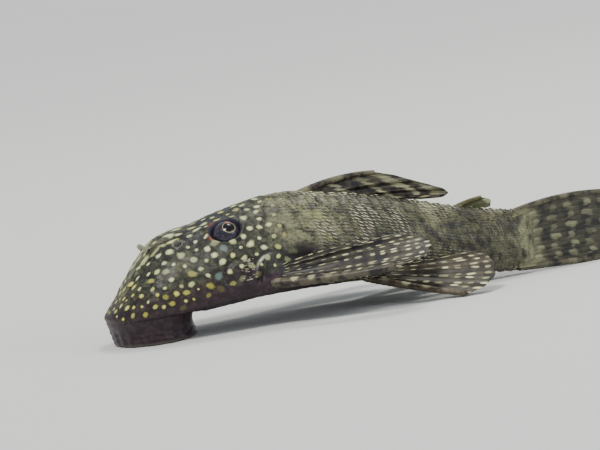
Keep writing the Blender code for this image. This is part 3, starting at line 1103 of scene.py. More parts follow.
@dataclass(frozen=True)
class Hide(Finish):
    """Live hide under thin wet mucus: dark olive, mottled, with cream spots. Bone and horn wear it too."""

    name: str = "olive_hide_under_mucus"
    ink: str = "#0d0d0d"
    olive: str = "#42422b"
    slate: str = "#3b4038"
    dab: str = "#6a6d50"
    khaki: str = "#939270"
    earth: str = "#493c31"
    # The blue on the top of the head is partly the hide's own tint and partly a painted sheen
    blue_and_sheen: str = "#424853"
    # Purple and plum paint the underside dark, partly its own colour and partly painted shade
    purple: str = "#21121a"
    plum: str = "#33222a"
    eyelid: str = "#2c2b3a"
    rust: str = "#7a3a1c"
    bone: str = "#d8d5bd"
    cream: str = "#c0c792"
    yellow: str = "#c2bd48"
    cold: str = "#6b7f78"
    core: str = "#f1f3dc"
    # A crest shows the bone colour where it is worn, and on the flank and the gill's flap also where a
    # glint is painted
    wear_and_glint: float = 0.6  # how much of the bone colour a worn crest shows
    mucus: float = 0.14
    patch: float = 4.2  # this and the next five are millimetres across
    mottle: float = 2.4
    net: float = 1.9
    bend: float = 1.2
    dabs: float = 1.1
    grain: float = 0.35
    relief: float = 0.09  # millimetres deep

    def make(self) -> Material:
        """Makes the hide's material.

        Returns:
            The material.
        """
        # Pigment cells give grain, mottle and a dark net, and the mucus over them gives broad soft glints
        made, tree, place = self.begin()
        swells = ((self.patch, 2.0), (self.mottle, 3.0), (self.dabs, 2.0), (self.grain, 2.0))
        patch, mottle, fine, grain = (
            add(tree, "TexNoise", {"Vector": place, "Scale": per_mm(size), "Detail": detail})
            for size, detail in swells
        )
        ground = self.ground(tree, place, (patch, mottle, fine, grain))
        colour = self.spots(tree, ground, fine, grain)
        gloss = add(tree, "Math", {0: grain, 1: 0.3, 2: self.roughness - 0.15}, operation="MULTIPLY_ADD")
        bumps = {"Strength": 0.8, "Distance": self.relief / 1000, "Height": grain}
        inputs = {
            "Base Color": colour,
            "Roughness": gloss,
            "Normal": add(tree, "Bump", bumps),
            "IOR": 1.36,
            "Coat Weight": self.mucus,
            "Coat Roughness": 0.28,
        }
        self.end(tree, inputs)
        return made

    def ground(self, tree: Tree, place: Socket, noises: tuple[Socket, ...]) -> Socket:
        """The hide's colour before its spots.

        Args:
            tree: The material's nodes.
            place: The place on the piece.
            noises: The noise of its patches, mottle, dabs and grain.

        Returns:
            The colour.
        """
        patch, mottle, fine, grain = noises
        underside_dark_and_shade, orbit, rust = stored(tree, "zones")
        khaki, crest, groove_and_shade = stored(tree, "lines")
        brown, blue_and_sheen, calm = stored(tree, "washes")
        sway = add(tree, "VectorMath", {0: mottle, 1: (self.bend / 1000,) * 3}, operation="MULTIPLY")
        bent = add(tree, "VectorMath", {0: place, 1: sway}, operation="ADD")
        cells = {"Vector": bent, "Scale": per_mm(self.net)}
        net = add(tree, "TexVoronoi", cells, "Distance", feature="DISTANCE_TO_EDGE")
        dark_mottle, dark_net, pale_dabs = (
            add(tree, "Math", {0: value, 1: slope, 2: start}, operation="MULTIPLY_ADD")
            for value, slope, start in ((khaki, -0.42, 0.8), (khaki, -0.5, 0.68), (calm, -0.15, 0.45))
        )
        # Painted shade over the underside's own dark purple, also laid in the hollows
        shadow = lay(tree, self.purple, [Layer(self.plum, fine, (0.42, 0.66))])
        layers = [
            Layer(self.slate, patch, (0.35, 0.65)),
            # Blue on the head's top, partly its own tint and partly a painted sheen
            Layer(self.blue_and_sheen, patch, (0.6, 0.4), (blue_and_sheen,)),
            Layer(self.earth, brown),
            Layer(self.khaki, mottle, (0.3, 0.55), (khaki,)),
            Layer(self.ink, mottle, (0.6, 0.36), (dark_mottle,)),
            Layer(self.ink, net, (0.28, 0.02), (dark_net,)),
            Layer(self.dab, fine, (0.5, 0.68), (pale_dabs,)),
            Layer(self.ink, grain, (0.62, 0.34), (0.5,)),
            # The underside and the hollows darkened, partly their own colour and partly painted shade
            Layer(shadow, underside_dark_and_shade),
            Layer(self.eyelid, orbit),
            Layer(self.rust, rust),
            # Painted shade: seams, pits and the overlapped fronts of the scutes are darkened, partly as
            # dark joints
            Layer(self.ink, groove_and_shade, times=(0.85,)),
            # Crests in bone colour: worn edges and tips, partly painted glints
            Layer(self.bone, crest, times=(self.wear_and_glint,)),
        ]
        return lay(tree, self.olive, layers)

    def spots(self, tree: Tree, ground: Socket, fine: Socket, grain: Socket) -> Socket:
        """The hide's colour with its spots, each with a ragged edge and a dark halo.

        Args:
            tree: The material's nodes.
            ground: The colour under the spots.
            fine: The noise of the dabs.
            grain: The finest noise.

        Returns:
            The colour.
        """
        spot, tint, strength = stored(tree, "marks")
        calm = stored(tree, "washes")[2]
        firmness = {"Value": strength, "From Min": 0.55, "From Max": 1.0}
        firm = add(tree, "MapRange", firmness, interpolation_type="SMOOTHSTEP")
        layers = [
            Layer(self.yellow, tint, (0.1, 0.5)),
            Layer(self.core, spot, (0.6, 0.95), (firm, 0.6)),
            Layer(self.cold, tint, (0.7, 0.9)),
            Layer(self.dab, grain, (0.5, 0.7), (0.3,)),
        ]
        pigment = lay(tree, self.cream, layers)
        edge = add(tree, "Math", {0: spot, 1: 0.35}, operation="SUBTRACT")
        warp = add(tree, "Math", {0: calm, 1: 0.6, 2: 0.5}, operation="MULTIPLY_ADD")
        for noise, much in ((grain, 0.2), (calm, -0.3), (fine, warp)):
            edge = add(tree, "Math", {0: noise, 1: much, 2: edge}, operation="MULTIPLY_ADD")
        halo = Layer(self.ink, spot, (0.05, 0.4), (strength, 0.55))
        return lay(tree, ground, [halo, Layer(pigment, edge, (0.36, 0.72), (strength,))])


@dataclass(frozen=True)
class RayedWeb(Finish):
    """A fin of bony rays in a thin web: brown grey, with pale dashes along the rays."""

    name: str = "fin_ray_and_web"
    web: str = "#322f27"
    ray: str = "#4f4a3c"
    warm: str = "#5d4128"
    green: str = "#4c5526"
    root: str = "#7b795a"
    pale: str = "#d3d1a4"
    ink: str = "#17141a"
    grain: float = 0.5  # this and the next are millimetres across
    mottle: float = 2.0
    relief: float = 0.05  # millimetres deep

    def make(self) -> Material:
        """Makes the fins' material.

        Returns:
            The material.
        """
        # Thin wet web over bone is darker between the rays, and the dashes' edges are a little ragged
        made, tree, place = self.begin()
        dash, crest, warm = stored(tree, "fin")
        strength, green, root = stored(tree, "tone")
        grain, mottle = (
            add(tree, "TexNoise", {"Vector": place, "Scale": per_mm(size), "Detail": 2.0})
            for size in (self.grain, self.mottle)
        )
        edge = add(tree, "Math", {0: dash, 1: 0.15}, operation="SUBTRACT")
        edge = add(tree, "Math", {0: grain, 1: 0.3, 2: edge}, operation="MULTIPLY_ADD")
        layers = [
            Layer(self.ray, crest),
            Layer(self.ink, mottle, (0.6, 0.38)),
            Layer(self.warm, warm),
            Layer(self.green, green),
            # The pale root: partly the fin's own pale base and partly painted light that lifts the shade
            # where it meets the stalk
            Layer(self.root, root),
            Layer(self.pale, edge, (0.34, 0.78), (strength,)),
        ]
        bumps = {"Strength": 0.6, "Distance": self.relief / 1000, "Height": grain}
        inputs = {
            "Base Color": lay(tree, self.web, layers),
            "Normal": add(tree, "Bump", bumps),
            "Roughness": self.roughness,
            "IOR": 1.36,
            "Coat Weight": 0.12,
            "Coat Roughness": 0.28,
        }
        self.end(tree, inputs)
        return made


@dataclass(frozen=True)
class WetEye(Finish):
    """An eye under its clear wet cornea: a black pupil, a thin gold ring and a dark iris."""

    name: str = "wet_eye_under_cornea"
    roughness: float = 0.35
    pupil: str = "#020203"
    ring: str = "#9a8f6e"
    iris: str = "#22202e"
    fleck: str = "#53474d"
    lobe: str = "#8f5148"
    grain: float = 0.6  # millimetres across
    pupil_edge: tuple[float, float] = (1.20, 1.14)  # these three are millimetres from the gaze axis
    ring_inner: tuple[float, float] = (1.16, 1.22)
    ring_outer: tuple[float, float] = (1.36, 1.30)

    def make(self) -> Material:
        """Makes the eyes' material.

        Returns:
            The material.
        """
        # The tear film over the cornea is a clear coat, so the glint is small and sharp over a matt iris
        made, tree, place = self.begin()
        out, lobe, _ = stored(tree, "gaze")
        grain = add(tree, "TexNoise", {"Vector": place, "Scale": per_mm(self.grain), "Detail": 3.0})
        rim = {"Value": out, "From Min": self.ring_outer[0], "From Max": self.ring_outer[1]}
        inside = add(tree, "MapRange", rim, interpolation_type="SMOOTHSTEP")
        layers = [
            Layer(self.fleck, grain, (0.5, 0.75)),
            Layer(self.pupil, out, self.pupil_edge),
            Layer(self.lobe, lobe),
            Layer(self.ring, out, self.ring_inner, (inside,)),
        ]
        inputs = {
            "Base Color": lay(tree, self.iris, layers),
            "Roughness": self.roughness,
            "IOR": 1.34,
            "Specular IOR Level": 0.15,
            "Coat Weight": 0.8,
            "Coat IOR": 1.42,
            "Coat Roughness": 0.02,
        }
        self.end(tree, inputs)
        return made


@dataclass(frozen=True)
class Plain(Finish):
    """A finish of two near colours that a soft noise mixes."""

    colour: str = "#9c7a4a"
    other: str = "#d8c89a"
    size: float = 0.8  # millimetres across
    step: tuple[float, float] | None = (0.4, 0.7)
    much: float = 1.0

    def make(self) -> Material:
        """Makes the material.

        Returns:
            The material.
        """
        made, tree, place = self.begin()
        grain = add(tree, "TexNoise", {"Vector": place, "Scale": per_mm(self.size), "Detail": 2.0})
        colour = lay(tree, self.colour, [Layer(self.other, grain, self.step, (self.much,))])
        self.end(tree, {"Base Color": colour, "Roughness": self.roughness})
        return made


# Bone under thin hide is darker and smoother than soft hide, and worn pale at its edges, where a glint is
# painted as well
SCUTE = Hide(
    "bony_scute_under_hide", 0.4, olive="#363626", slate="#30342f", dab="#5d5f49", wear_and_glint=0.5, grain=0.28
)
# Bare horn at a spinule's tip is the palest and glossiest part of the coat, and on the flank its pale is
# partly a painted glint
HORN = Hide("horny_spinule", 0.34, wear_and_glint=0.85, mucus=0.3)
# Smooth horn, half shiny, that grows paler in streaks
TOOTH = Plain("amber_tooth_horn", 0.3)
# Matt paint on board, even and without gloss
BOARD = Plain("pale_matt_board", 0.9, "#dfe1e0", "#c4c8ca", 40.0, None, 0.06)


# The skin


@dataclass
class Skin:
    """One hide over the head, the trunk, the tail stalk, the sucker mouth and the snout's bristles."""

    surface: BodySurface
    markings: Markings
    around: int = 256
    # Half of the sucker's section, as distances out from its middle and heights: its face, its wall in
    # front and behind, and the part that lies hidden in the head
    lip_face: tuple[tuple[float, float], ...] = (
        (0.0, 1.5), (1.2, 1.5), (2.2, 1.35), (2.9, 0.8), (3.3, 0.32), (3.8, 0.14), (4.6, 0.08),
        (5.6, 0.07), (6.4, 0.05), (7.2, 0.03), (7.7, 0.1),
    )
    lip_front: tuple[tuple[float, float], ...] = (
        (8.12, 0.32), (8.4, 0.8), (8.52, 1.4), (8.62, 2.0),
        (8.78, 2.7), (9.05, 3.5), (9.45, 4.3), (9.8, 5.2),
    )
    lip_rear: tuple[tuple[float, float], ...] = (
        (8.2, 0.22), (8.44, 0.52), (8.45, 1.0), (8.25, 1.7),
        (8.02, 2.4), (7.9, 3.2), (8.0, 4.1), (8.3, 5.2),
    )
    lip_top: tuple[tuple[float, float], ...] = ((9.0, 6.1), (7.0, 6.5), (4.0, 6.7), (0.0, 6.7))
    mouth_x: float = 9.9
    mouth_long: float = 9.0
    mouth_wide: float = 9.7
    bristle_long: float = 1.5
    bristle_thick: float = 0.62
    bristle_foot: float = 1.2  # how deep it stands in the skin

    def build(self, material: Material) -> Piece:
        """Makes the skin and dresses it.

        Args:
            material: What it is made of.

        Returns:
            The piece.
        """
        hide = self.make_hide()
        soft = joined([self.make_lips(), *(self.make_bristle(side) for side in Side)])
        self.unite(hide, soft)
        hide.data.shade_smooth()
        drop_unwraps(hide)
        points = self.surface.form.local(places_of(hide))
        relief = self.surface.relief
        # Painted shade: the hide is darkened where the relief dips below the bare body, as in the orbits,
        # the nostrils' pits and the gill's slit
        sunk = np.clip(-1.6 * relief.height(points), 0, 0.8) * ramp(points[:, 2], 5.5, 7.0)
        ring = bump(np.linalg.norm(np.abs(points) - relief.nostril, axis=1) - 1.0, 0.2)
        lip = 0.2 * ramp(points[:, 2], 0.9, 0.1)
        stubs = self.stubs(points)
        # The gill flap's edge is painted pale, partly its own rim and partly a painted highlight
        crest = 0.3 * ring + lip + 2.6 * relief.flap_edge_and_glint(points) + 0.4 * stubs
        self.markings.paint(hide, points, crest, np.maximum(sunk, relief.seams(points)), stubs)
        nodes = ("head", "trunk", "tail_stalk", "mouth_disc", "snout_bristle_left", "snout_bristle_right")
        return finish(hide, material, nodes)

    def stubs(self, points: Array) -> Array:
        """Which points belong to a snout bristle, 0 or 1.

        Args:
            points: Places in millimetres.

        Returns:
            One number for each point.
        """
        x, share = self.surface.above(BRISTLE_X, BRISTLE_Y)
        away = np.abs(points) - self.surface.place(x, share)
        outward = self.surface.read(self.surface.normals, x, share)
        return ((np.linalg.norm(away, axis=1) < 2.4) & (away @ outward > 0.2)).astype(float)

    def rows(self) -> Array:
        """Where the skin's rings lie along x, closest on the head.

        Returns:
            Millimetres from the snout, in order.
        """
        tip = 5.0 * (1 - np.cos(np.linspace(0.09, math.pi / 2, 36, endpoint=False)))
        head = np.linspace(5, 38, 176, endpoint=False)
        body = np.linspace(38, STANDARD_LENGTH, 92, endpoint=False)
        end = STANDARD_LENGTH + self.surface.form.tail_close * np.linspace(0, 1, 13)
        return np.concatenate([tip, head, body, end])

    def make_hide(self) -> Piece:
        """The closed hide of the head and body.

        Returns:
            The piece.
        """
        xs = self.rows()
        rings = len(xs) + 1

        def place(turn: Array, share: Array) -> Array:
            """A point of the hide for each turn and share."""
            row = np.clip(np.round(share * rings).astype(int) - 1, 0, len(xs) - 1)
            return self.surface.form.world(self.surface.place(xs[row], turn / (2 * math.pi)))

        return round_body("skin", self.around, rings, place)

    def make_lips(self) -> Piece:
        """The sucker: a flat oral face with small bumps, a rounded rim, and walls that rise into the snout.

        Returns:
            The piece.
        """
        walls = (self.lip_front, self.lip_rear)
        profiles = [np.array(self.lip_face + wall + self.lip_top) for wall in walls]
        way = np.concatenate([[0], np.cumsum(np.linalg.norm(np.diff(profiles[0], axis=0), axis=1))])

        def place(turn: Array, share: Array) -> Array:
            """Lays the globe out.

            Args:
                turn: Radians round the path.
                share: The share along it.

            Returns:
                Points in metres.
            """
            at = share * way[-1]
            ahead, behind = (
                np.stack([np.interp(at, way, profile[:, k]) for k in (0, 1)]) for profile in profiles
            )
            out, z = ahead + (behind - ahead) * ramp(np.cos(turn), -0.35, 0.8)
            mouth = bump(out - 3.0, 1.0)
            outline = np.stack([5.0 * np.cos(turn), 5.0 * np.sin(turn), 0 * turn], axis=-1)
            swell = (0.18 * waves(outline, 4.6, 22) + 0.10 * waves(outline, 1.5, 23)) * ramp(out, 6.5, 8.0)
            creases = np.sin(2 * math.pi * z / 1.15 + 2.2 * waves(outline, 3.4, 25))
            swell = swell + 0.07 * creases * ramp(out, 7.9, 8.4)
            swell = swell * ramp(z, 4.6, 3.0)
            x = self.mouth_x + (out + swell) / 9.0 * self.mouth_long * np.cos(turn) * (1 - 0.42 * mouth)
            y = (out + swell) / 9.0 * self.mouth_wide * np.sin(turn) * (1 + 0.15 * mouth)
            buds = np.clip(waves(np.stack([x, y, 0 * x], axis=-1), 0.95, 21), 0, None)
            z = z + 0.17 * buds * ramp(out, 3.6, 4.4) * ramp(out, 7.9, 7.2)
            z = z + 0.05 * waves(outline, 1.2, 24) * ramp(out, 7.0, 8.2) * ramp(z, 2.5, 1.0)
            return self.surface.form.world(np.stack([x, y, np.maximum(z, 0)], axis=-1))

        return round_body("lips", 160, 110, place)

    def make_bristle(self, side: Side) -> Piece:
        """A short soft stub on the snout.

        Args:
            side: The side that it stands on.

        Returns:
            The piece.
        """
        x, share = self.surface.above(BRISTLE_X, side.value * BRISTLE_Y)
        foot = self.surface.place(x, share)
        outward = self.surface.read(self.surface.normals, x, share)
        lean = unit(outward + np.array([-0.25, side.value * 0.25, 0.35]))
        root, tip = foot - lean * self.bristle_foot, foot + lean * self.bristle_long

        def thick(share: Array) -> Array:
            """The stub's radius, blunt at its ends."""
            return self.bristle_thick * np.sin(np.clip(share, 0.0, 1) * math.pi) ** 0.4

        name = f"bristle_{side.word}"
        return make_peg(name, (20, 16), (root, tip, np.array([0, 1.0, 0])), thick, self.surface.form)

    def unite(self, hide: Piece, soft: Piece) -> None:
        """Joins the soft parts to the hide as one closed skin.

        Args:
            hide: The hide, which becomes the skin.
            soft: The soft parts, which are used up.
        """
        clear_selection()
        hide.select_set(True)
        bpy.context.view_layer.objects.active = hide
        union = hide.modifiers.new("one_skin", "BOOLEAN")
        union.operation = "UNION"
        union.solver = "MANIFOLD"
        union.object = soft
        bpy.ops.object.modifier_apply(modifier=union.name)
        bpy.data.objects.remove(soft)
        self.soften(hide)

    def soften(self, hide: Piece) -> None:
        """Rounds the crease where the sucker's wall meets the underside of the head.

        Args:
            hide: The skin.
        """
        points = self.surface.form.local(places_of(hide))
        along, aside = (points[:, 0] - self.mouth_x) / self.mouth_long, points[:, 1] / self.mouth_wide
        out = np.hypot(along, aside)
        middle = 1.05 - 0.16 * ramp(along / np.maximum(out, 1e-6), -0.35, 0.8)
        near = (np.abs(out - middle) < 0.1) & (points[:, 2] < 6.6) & (points[:, 2] > 3.4)
        mesh = hide.data
        for kind in (mesh.polygons, mesh.edges, mesh.vertices):
            kind.foreach_set("select", np.zeros(len(kind), dtype=bool))
        mesh.vertices.foreach_set("select", near)
        bpy.context.tool_settings.mesh_select_mode = (True, False, False)
        bpy.ops.object.mode_set(mode="EDIT")
        bpy.ops.mesh.vertices_smooth(factor=0.5, repeat=16)
        bpy.ops.object.mode_set(mode="OBJECT")


# Scutes and spinules


@dataclass
class Copies:
    """Many bent copies of one small closed shape, gathered into one piece."""

    pattern: Piece
    points: list = field(default_factory=list)
    unwraps: list = field(default_factory=list)

    def gather(self, name: str) -> Piece:
        """One piece with every copy in it.

        Args:
            name: The piece's name.

        Returns:
            The piece. Its vertices are the copies' points in turn.
        """
        mesh = self.pattern.data
        count, each = len(self.points), len(mesh.vertices)
        sizes = np.empty(len(mesh.polygons), dtype=np.int32)
        mesh.polygons.foreach_get("loop_total", sizes)
        corners = corner_vertices(self.pattern)
        every = (corners[None, :] + each * np.arange(count)[:, None]).ravel()
        starts = np.concatenate([[0], np.cumsum(np.tile(sizes, count))[:-1]])
        gathered = bpy.data.meshes.new(name)
        gathered.vertices.add(count * each)
        gathered.vertices.foreach_set("co", np.concatenate(self.points).ravel())
        gathered.loops.add(len(every))
        gathered.loops.foreach_set("vertex_index", every.astype(np.int32))
        gathered.polygons.add(len(starts))
        gathered.polygons.foreach_set("loop_start", starts.astype(np.int32))
        gathered.update(calc_edges=True)
        gathered.validate()
        made = bpy.data.objects.new(name, gathered)
        bpy.context.scene.collection.objects.link(made)
        if volume_of(made) < 0:
            gathered.flip_normals()
        gathered.shade_smooth()
        set_unwrap(made, np.concatenate(self.unwraps)[corner_vertices(made)])
        return made


@dataclass
class Scutes:
    """Five rows of overlapping bony scutes on each side, from behind the head to the tail fin."""

    surface: BodySurface
    markings: Markings
    count: int = 24
    first_x: tuple[float, ...] = (36.2, 36.2, 39.4, 42.4, 44.0)
    start_x: float = 36.0
    last_x: float = 90.2
    slant: tuple[float, ...] = (1.0, 1.2, 1.1, -0.5, -0.9)
    keels: tuple[float, ...] = (0.05, 0.10, 0.20, 0.14, 0.10)
    across: int = 12
    along: int = 4
    ridges: int = 6
    sunk: float = 0.14  # how deep a scute's front edge lies under the skin
    raised: float = 0.27  # how far its surface climbs from there to its hind edge

    @property
    def pitch(self) -> float:
        """Millimetres from one scute to the next."""
        return (self.last_x - self.start_x) / self.count

    def starts(self, row: int) -> Array:
        """Where along x the scutes of a row begin."""
        return np.arange(self.first_x[row], self.last_x - 0.6 * self.pitch, self.pitch)

    def climb(self, a: Array) -> Array:
        """How far a scute stands over the skin at each share of its length."""
        return -self.sunk + self.raised * a**1.4

    def keel(self, b: Array, row: int) -> Array:
        """The height of a row's keel at each share of its breadth."""
        return self.keels[row] * bump(b - 0.5, 0.16)

    def edges(self, x: Array, row: int) -> tuple[Array, Array]:
        """The shares round the body, 0 to 0.5, between which a row lies at x.

        Args:
            x: Millimetres from the snout's tip.
            row: The row, 0 at the back.

        Returns:
            The upper and the lower share.
        """
        top = np.interp(x, [36, 43, 62, 70, 90], [0.012, 0.020, 0.020, 0.006, 0.004])
        end = np.interp(x, [36, 50, 66, 78, 90], [0.345, 0.365, 0.425, 0.487, 0.49])
        cuts = np.array([0, 0.205, 0.405, 0.60, 0.80, 1.0])
        return top + (end - top) * cuts[row], top + (end - top) * cuts[row + 1]

    def build(self, side: Side, material: Material) -> Piece:
        """Makes one side's scutes as one piece.

        Args:
            side: Which side.
            material: What it is made of.

        Returns:
            The piece.
        """
        pattern, b, a, face = slab("scute_pattern", self.across, self.along)
        copies = Copies(pattern)
        lines = []
        draw = np.random.default_rng(5 + side.value)
        for row in range(5):
            for x0 in self.starts(row):
                long = self.pitch * 1.28
                ridge = 0.5 - 0.5 * np.cos(2 * math.pi * self.ridges * b)
                last = x0 > self.last_x - 2.2 * self.pitch
                x = x0 + a * long * (1.3 if last else 1.0) + self.slant[row] * b
                x = x + 0.2 * ridge * (a > 0.95) - 0.35 * np.abs(b - 0.5) * a
                x = np.minimum(x, STANDARD_LENGTH + 1.7 - 0.4 * (2 * (row + b) / 5 - 1) ** 2)
                high, low = self.edges(x, row)
                share = high + (low - high) * (b * 1.07 - 0.035)
                crown = 0.06 * np.sin(math.pi * b) + self.keel(b, row)
                lift = self.climb(a) + (crown + 0.06 * ridge) * (0.25 + 0.75 * a)
                fade = ramp(x, STANDARD_LENGTH + 2.2, STANDARD_LENGTH - 1.5)
                lift = (lift + draw.uniform(-0.03, 0.03)) * fade
                lift = np.where(face > 0, lift, np.minimum(lift - 0.12, -0.12) - 0.1)
                turned = share if side is Side.RIGHT else 1 - share
                placed = self.surface.place(x, turned, lift)
                copies.points.append(self.surface.form.world(placed))
                copies.unwraps.append(self.surface.unwrap(x, turned))
                # Painted highlight: the ridges towards a scute's hind edge are painted pale, partly bone
                # worn bare and partly a painted glint
                wear_and_glint = ramp(a, 0.6, 1.0) * (1 - 0.5 * ramp(x, 52, 74))
                crest = 0.5 * (0.15 + 0.85 * ridge) * wear_and_glint * (face > 0)
                # Painted shade: each scute's front, tucked under the one before, and the furrows between
                # its ridges are darkened
                groove_and_shade = 1.1 * ramp(a, 0.5, 0.05) + 0.5 * (1 - ridge)
                lines.append(np.stack([crest, groove_and_shade * (1 - 0.6 * ramp(x, 84, 88))], axis=-1))
        made = copies.gather(f"scutes_{side.word}")
        bpy.data.objects.remove(pattern)
        crest, groove_and_shade = np.concatenate(lines).T
        points = self.surface.form.local(places_of(made))
        self.markings.paint(made, points, crest, groove_and_shade)
        return finish(made, material)


@dataclass
class Roots:
    """Where spinules stand: their places, how they lie, and how long and thick they are."""

    x: Array
    share: Array
    lift: Array
    long: Array
    thick: Array
    rise: Array  # how far the spinule stands up from the surface, 0 to 1
    droop: Array  # how far it leans down the flank, 0 to 1
    pale: Array


@dataclass
class Spinules:
    """Small horny teeth in the hide, which lie back along the body."""

    surface: BodySurface
    markings: Markings

    def make_pattern(self) -> Piece:
        """One spinule along +Z: a four-sided cone that hooks back to a point.

        Returns:
            The piece.
        """
        clear_selection()
        cone = {"vertices": 4, "radius1": 1.0, "radius2": 0.72, "depth": 0.5}
        bpy.ops.mesh.primitive_cone_add(**cone, location=(0, 0, cone["depth"] / 2))
        made = bpy.context.object
        made.name = "spinule_pattern"
        bpy.ops.object.transform_apply(location=True)
        bpy.context.tool_settings.mesh_select_mode = (False, False, True)
        made.data.polygons.foreach_set("select", [p.normal.z > 0.9 for p in made.data.polygons])
        bpy.ops.object.mode_set(mode="EDIT")
        bpy.ops.mesh.extrude_region_move(TRANSFORM_OT_translate={"value": (0.0, 0.45, 0.5)})
        bpy.ops.mesh.merge(type="CENTER")
        bpy.ops.object.mode_set(mode="OBJECT")
        return made

    def build(self, name: str, roots: Roots, material: Material) -> Piece:
        """One piece of spinules.

        Args:
            name: The piece's name.
            roots: Where they stand.
            material: What they are made of.

        Returns:
            The piece.
        """
        pattern = self.make_pattern()
        shape = places_of(pattern)
        root = self.surface.place(roots.x, roots.share, roots.lift)
        outward = unit(self.surface.read(self.surface.normals, roots.x, roots.share))
        back = self.surface.read(self.surface.points, roots.x + 0.3, roots.share)
        back = unit(back - self.surface.read(self.surface.points, roots.x - 0.05, roots.share))
        down = np.cross(outward, back)
        down = down * -np.sign(down[:, 2:3])
        way = back * (1 - roots.rise - 0.5 * roots.droop)[:, None] + outward * roots.rise[:, None]
        way = unit(way + down * roots.droop[:, None])
        aside = unit(np.cross(way, outward))
        over = np.cross(aside, way)
        local = shape[None, :, :] * np.stack([roots.thick, roots.thick, roots.long], axis=-1)[:, None, :]
        placed = root[:, None, :] - way[:, None, :] * 0.12
        placed = placed + local[..., 0:1] * aside[:, None, :] + local[..., 1:2] * over[:, None, :]
        placed = placed + local[..., 2:3] * way[:, None, :]
        centre = self.surface.unwrap(roots.x, roots.share)[:, None, :]
        spread = shape[None, :, [2, 0]] * TUFT_PATCH / 2
        copies = Copies(pattern, list(self.surface.form.world(placed)), list(centre + spread))
        made = copies.gather(name)
        bpy.data.objects.remove(pattern)
        each = len(shape)
        # Each spinule's tip is painted pale, which on the flank is partly a painted glint
        crest = (roots.pale[:, None] * ramp(shape[:, 2], -0.1, 0.5)[None, :]).ravel()
        points = np.repeat(root, each, axis=0)
        self.markings.paint(made, points, crest, np.zeros(len(points)))
        return finish(made, material)

    def on_scutes(self, scutes: Scutes, side: Side) -> Roots:
        """Rows of spinules along the ridges of one side's scutes.

        Args:
            scutes: The scutes.
            side: Which side.

        Returns:
            Where they stand.
        """
        draw = np.random.default_rng(31 + side.value)
        found = []
        for row in range(5):
            for x0 in scutes.starts(row):
                b, a = np.meshgrid((np.arange(scutes.ridges) + 0.5) / scutes.ridges, (0.36, 0.68, 0.98))
                b = b.ravel() + draw.normal(0, 0.012, b.size)
                a = a.ravel() + draw.normal(0, 0.04, a.size)
                x = x0 + a * scutes.pitch * 1.22 + scutes.slant[row] * b - 0.35 * np.abs(b - 0.5) * a
                high, low = scutes.edges(x, row)
                share = high + (low - high) * b
                lift = scutes.climb(a) + (0.09 + scutes.keel(b, row)) * a
                droop = 0.38 if row < 3 else 0.12
                found.append(np.stack([x, share, lift, a, np.full_like(a, droop)], axis=-1))
        x, share, lift, a, droop = np.concatenate(found).T
        keep = x < STANDARD_LENGTH + 0.4
        x, share, lift, a, droop = x[keep], share[keep], lift[keep], a[keep], droop[keep]
        size = draw.uniform(0.8, 1.2, len(x)) * (0.6 + 0.4 * a)
        turned = share if side is Side.RIGHT else 1 - share
        patchy = ramp(waves(self.surface.place(x, turned), 7.5, 33), -0.15, 0.75)
        # Painted highlight: the spinules' tips are pale, partly the horn's own colour and partly a painted
        # glint along the flank
        pale_tip_and_glint = (0.35 + 0.65 * a) * (0.15 + 0.85 * patchy) * (1 - 0.4 * ramp(x, 52, 74))
        size = size * (1 - 0.25 * ramp(x, 58, 76)) * (0.9 + 0.35 * patchy)
        return Roots(x, turned, lift, 1.3 * size, 0.13 * size, 0.15 + 0 * x, droop, 1.4 * pale_tip_and_glint)

    def on_head(self, count: int = 15000) -> Roots:
        """Fine spinules over the head's shields, and none on the soft parts.

        Args:
            count: How many places are tried.

        Returns:
            Where they stand.
        """
        draw = np.random.default_rng(41)
        x = 2.0 + 37.5 * draw.random(count)
        share = draw.random(count)
        points = self.surface.place(x, share)
        relief = self.surface.relief
        keep = (self.markings.above_belly(points) > 0) & (relief.orbit_share(points) > 1.15)
        keep &= np.linalg.norm(np.abs(points) - np.array(relief.nostril), axis=1) > 1.5
        x, share = x[keep], share[keep]
        size = draw.uniform(0.7, 1.2, len(x))
        lift = -0.03 + 0 * x
        pale = 0.4 * draw.random(len(x)) ** 2
        return Roots(x, share, lift, 0.30 * size, 0.07 * size, 0.28 + 0 * x, 0.1 + 0 * x, pale)

    def on_cheeks(self) -> Roots:
        """The clump of longer hooked spines on each cheek.

        Returns:
            Where they stand.
        """
        draw = np.random.default_rng(43)
        rows = []
        for side in Side:
            for _ in range(30):
                x = draw.uniform(26.9, 29.6)
                share = draw.uniform(0.228, 0.285)
                rows.append((x, share if side is Side.RIGHT else 1 - share))
        x, share = np.array(rows).T
        size = draw.uniform(0.7, 1.15, len(x))
        return Roots(x, share, 0 * x, 1.25 * size, 0.14 * size, 0.5 + 0 * x, 0 * x, 1.1 + 0 * x)


# Fins


@dataclass(frozen=True)
class Dashes:
    """How a fin's pale dashes lie: millimetres from one to the next, and how neighbouring rays differ."""

    period: float
    drift: float = 0.0  # periods from one ray to the next
    start: float = 0.0
    on_rays: float = 1.0  # 1 keeps the dashes on the rays, and 0 lets them cross the web
    weight: float = 0.5  # share of the length that is pale
    strong: float = 0.8  # how pale the dashes are
    every: int = 1  # rays from one row of dashes to the next
    wide: float = 0.0  # rays that a dash reaches to each side, where it is wider than its ray


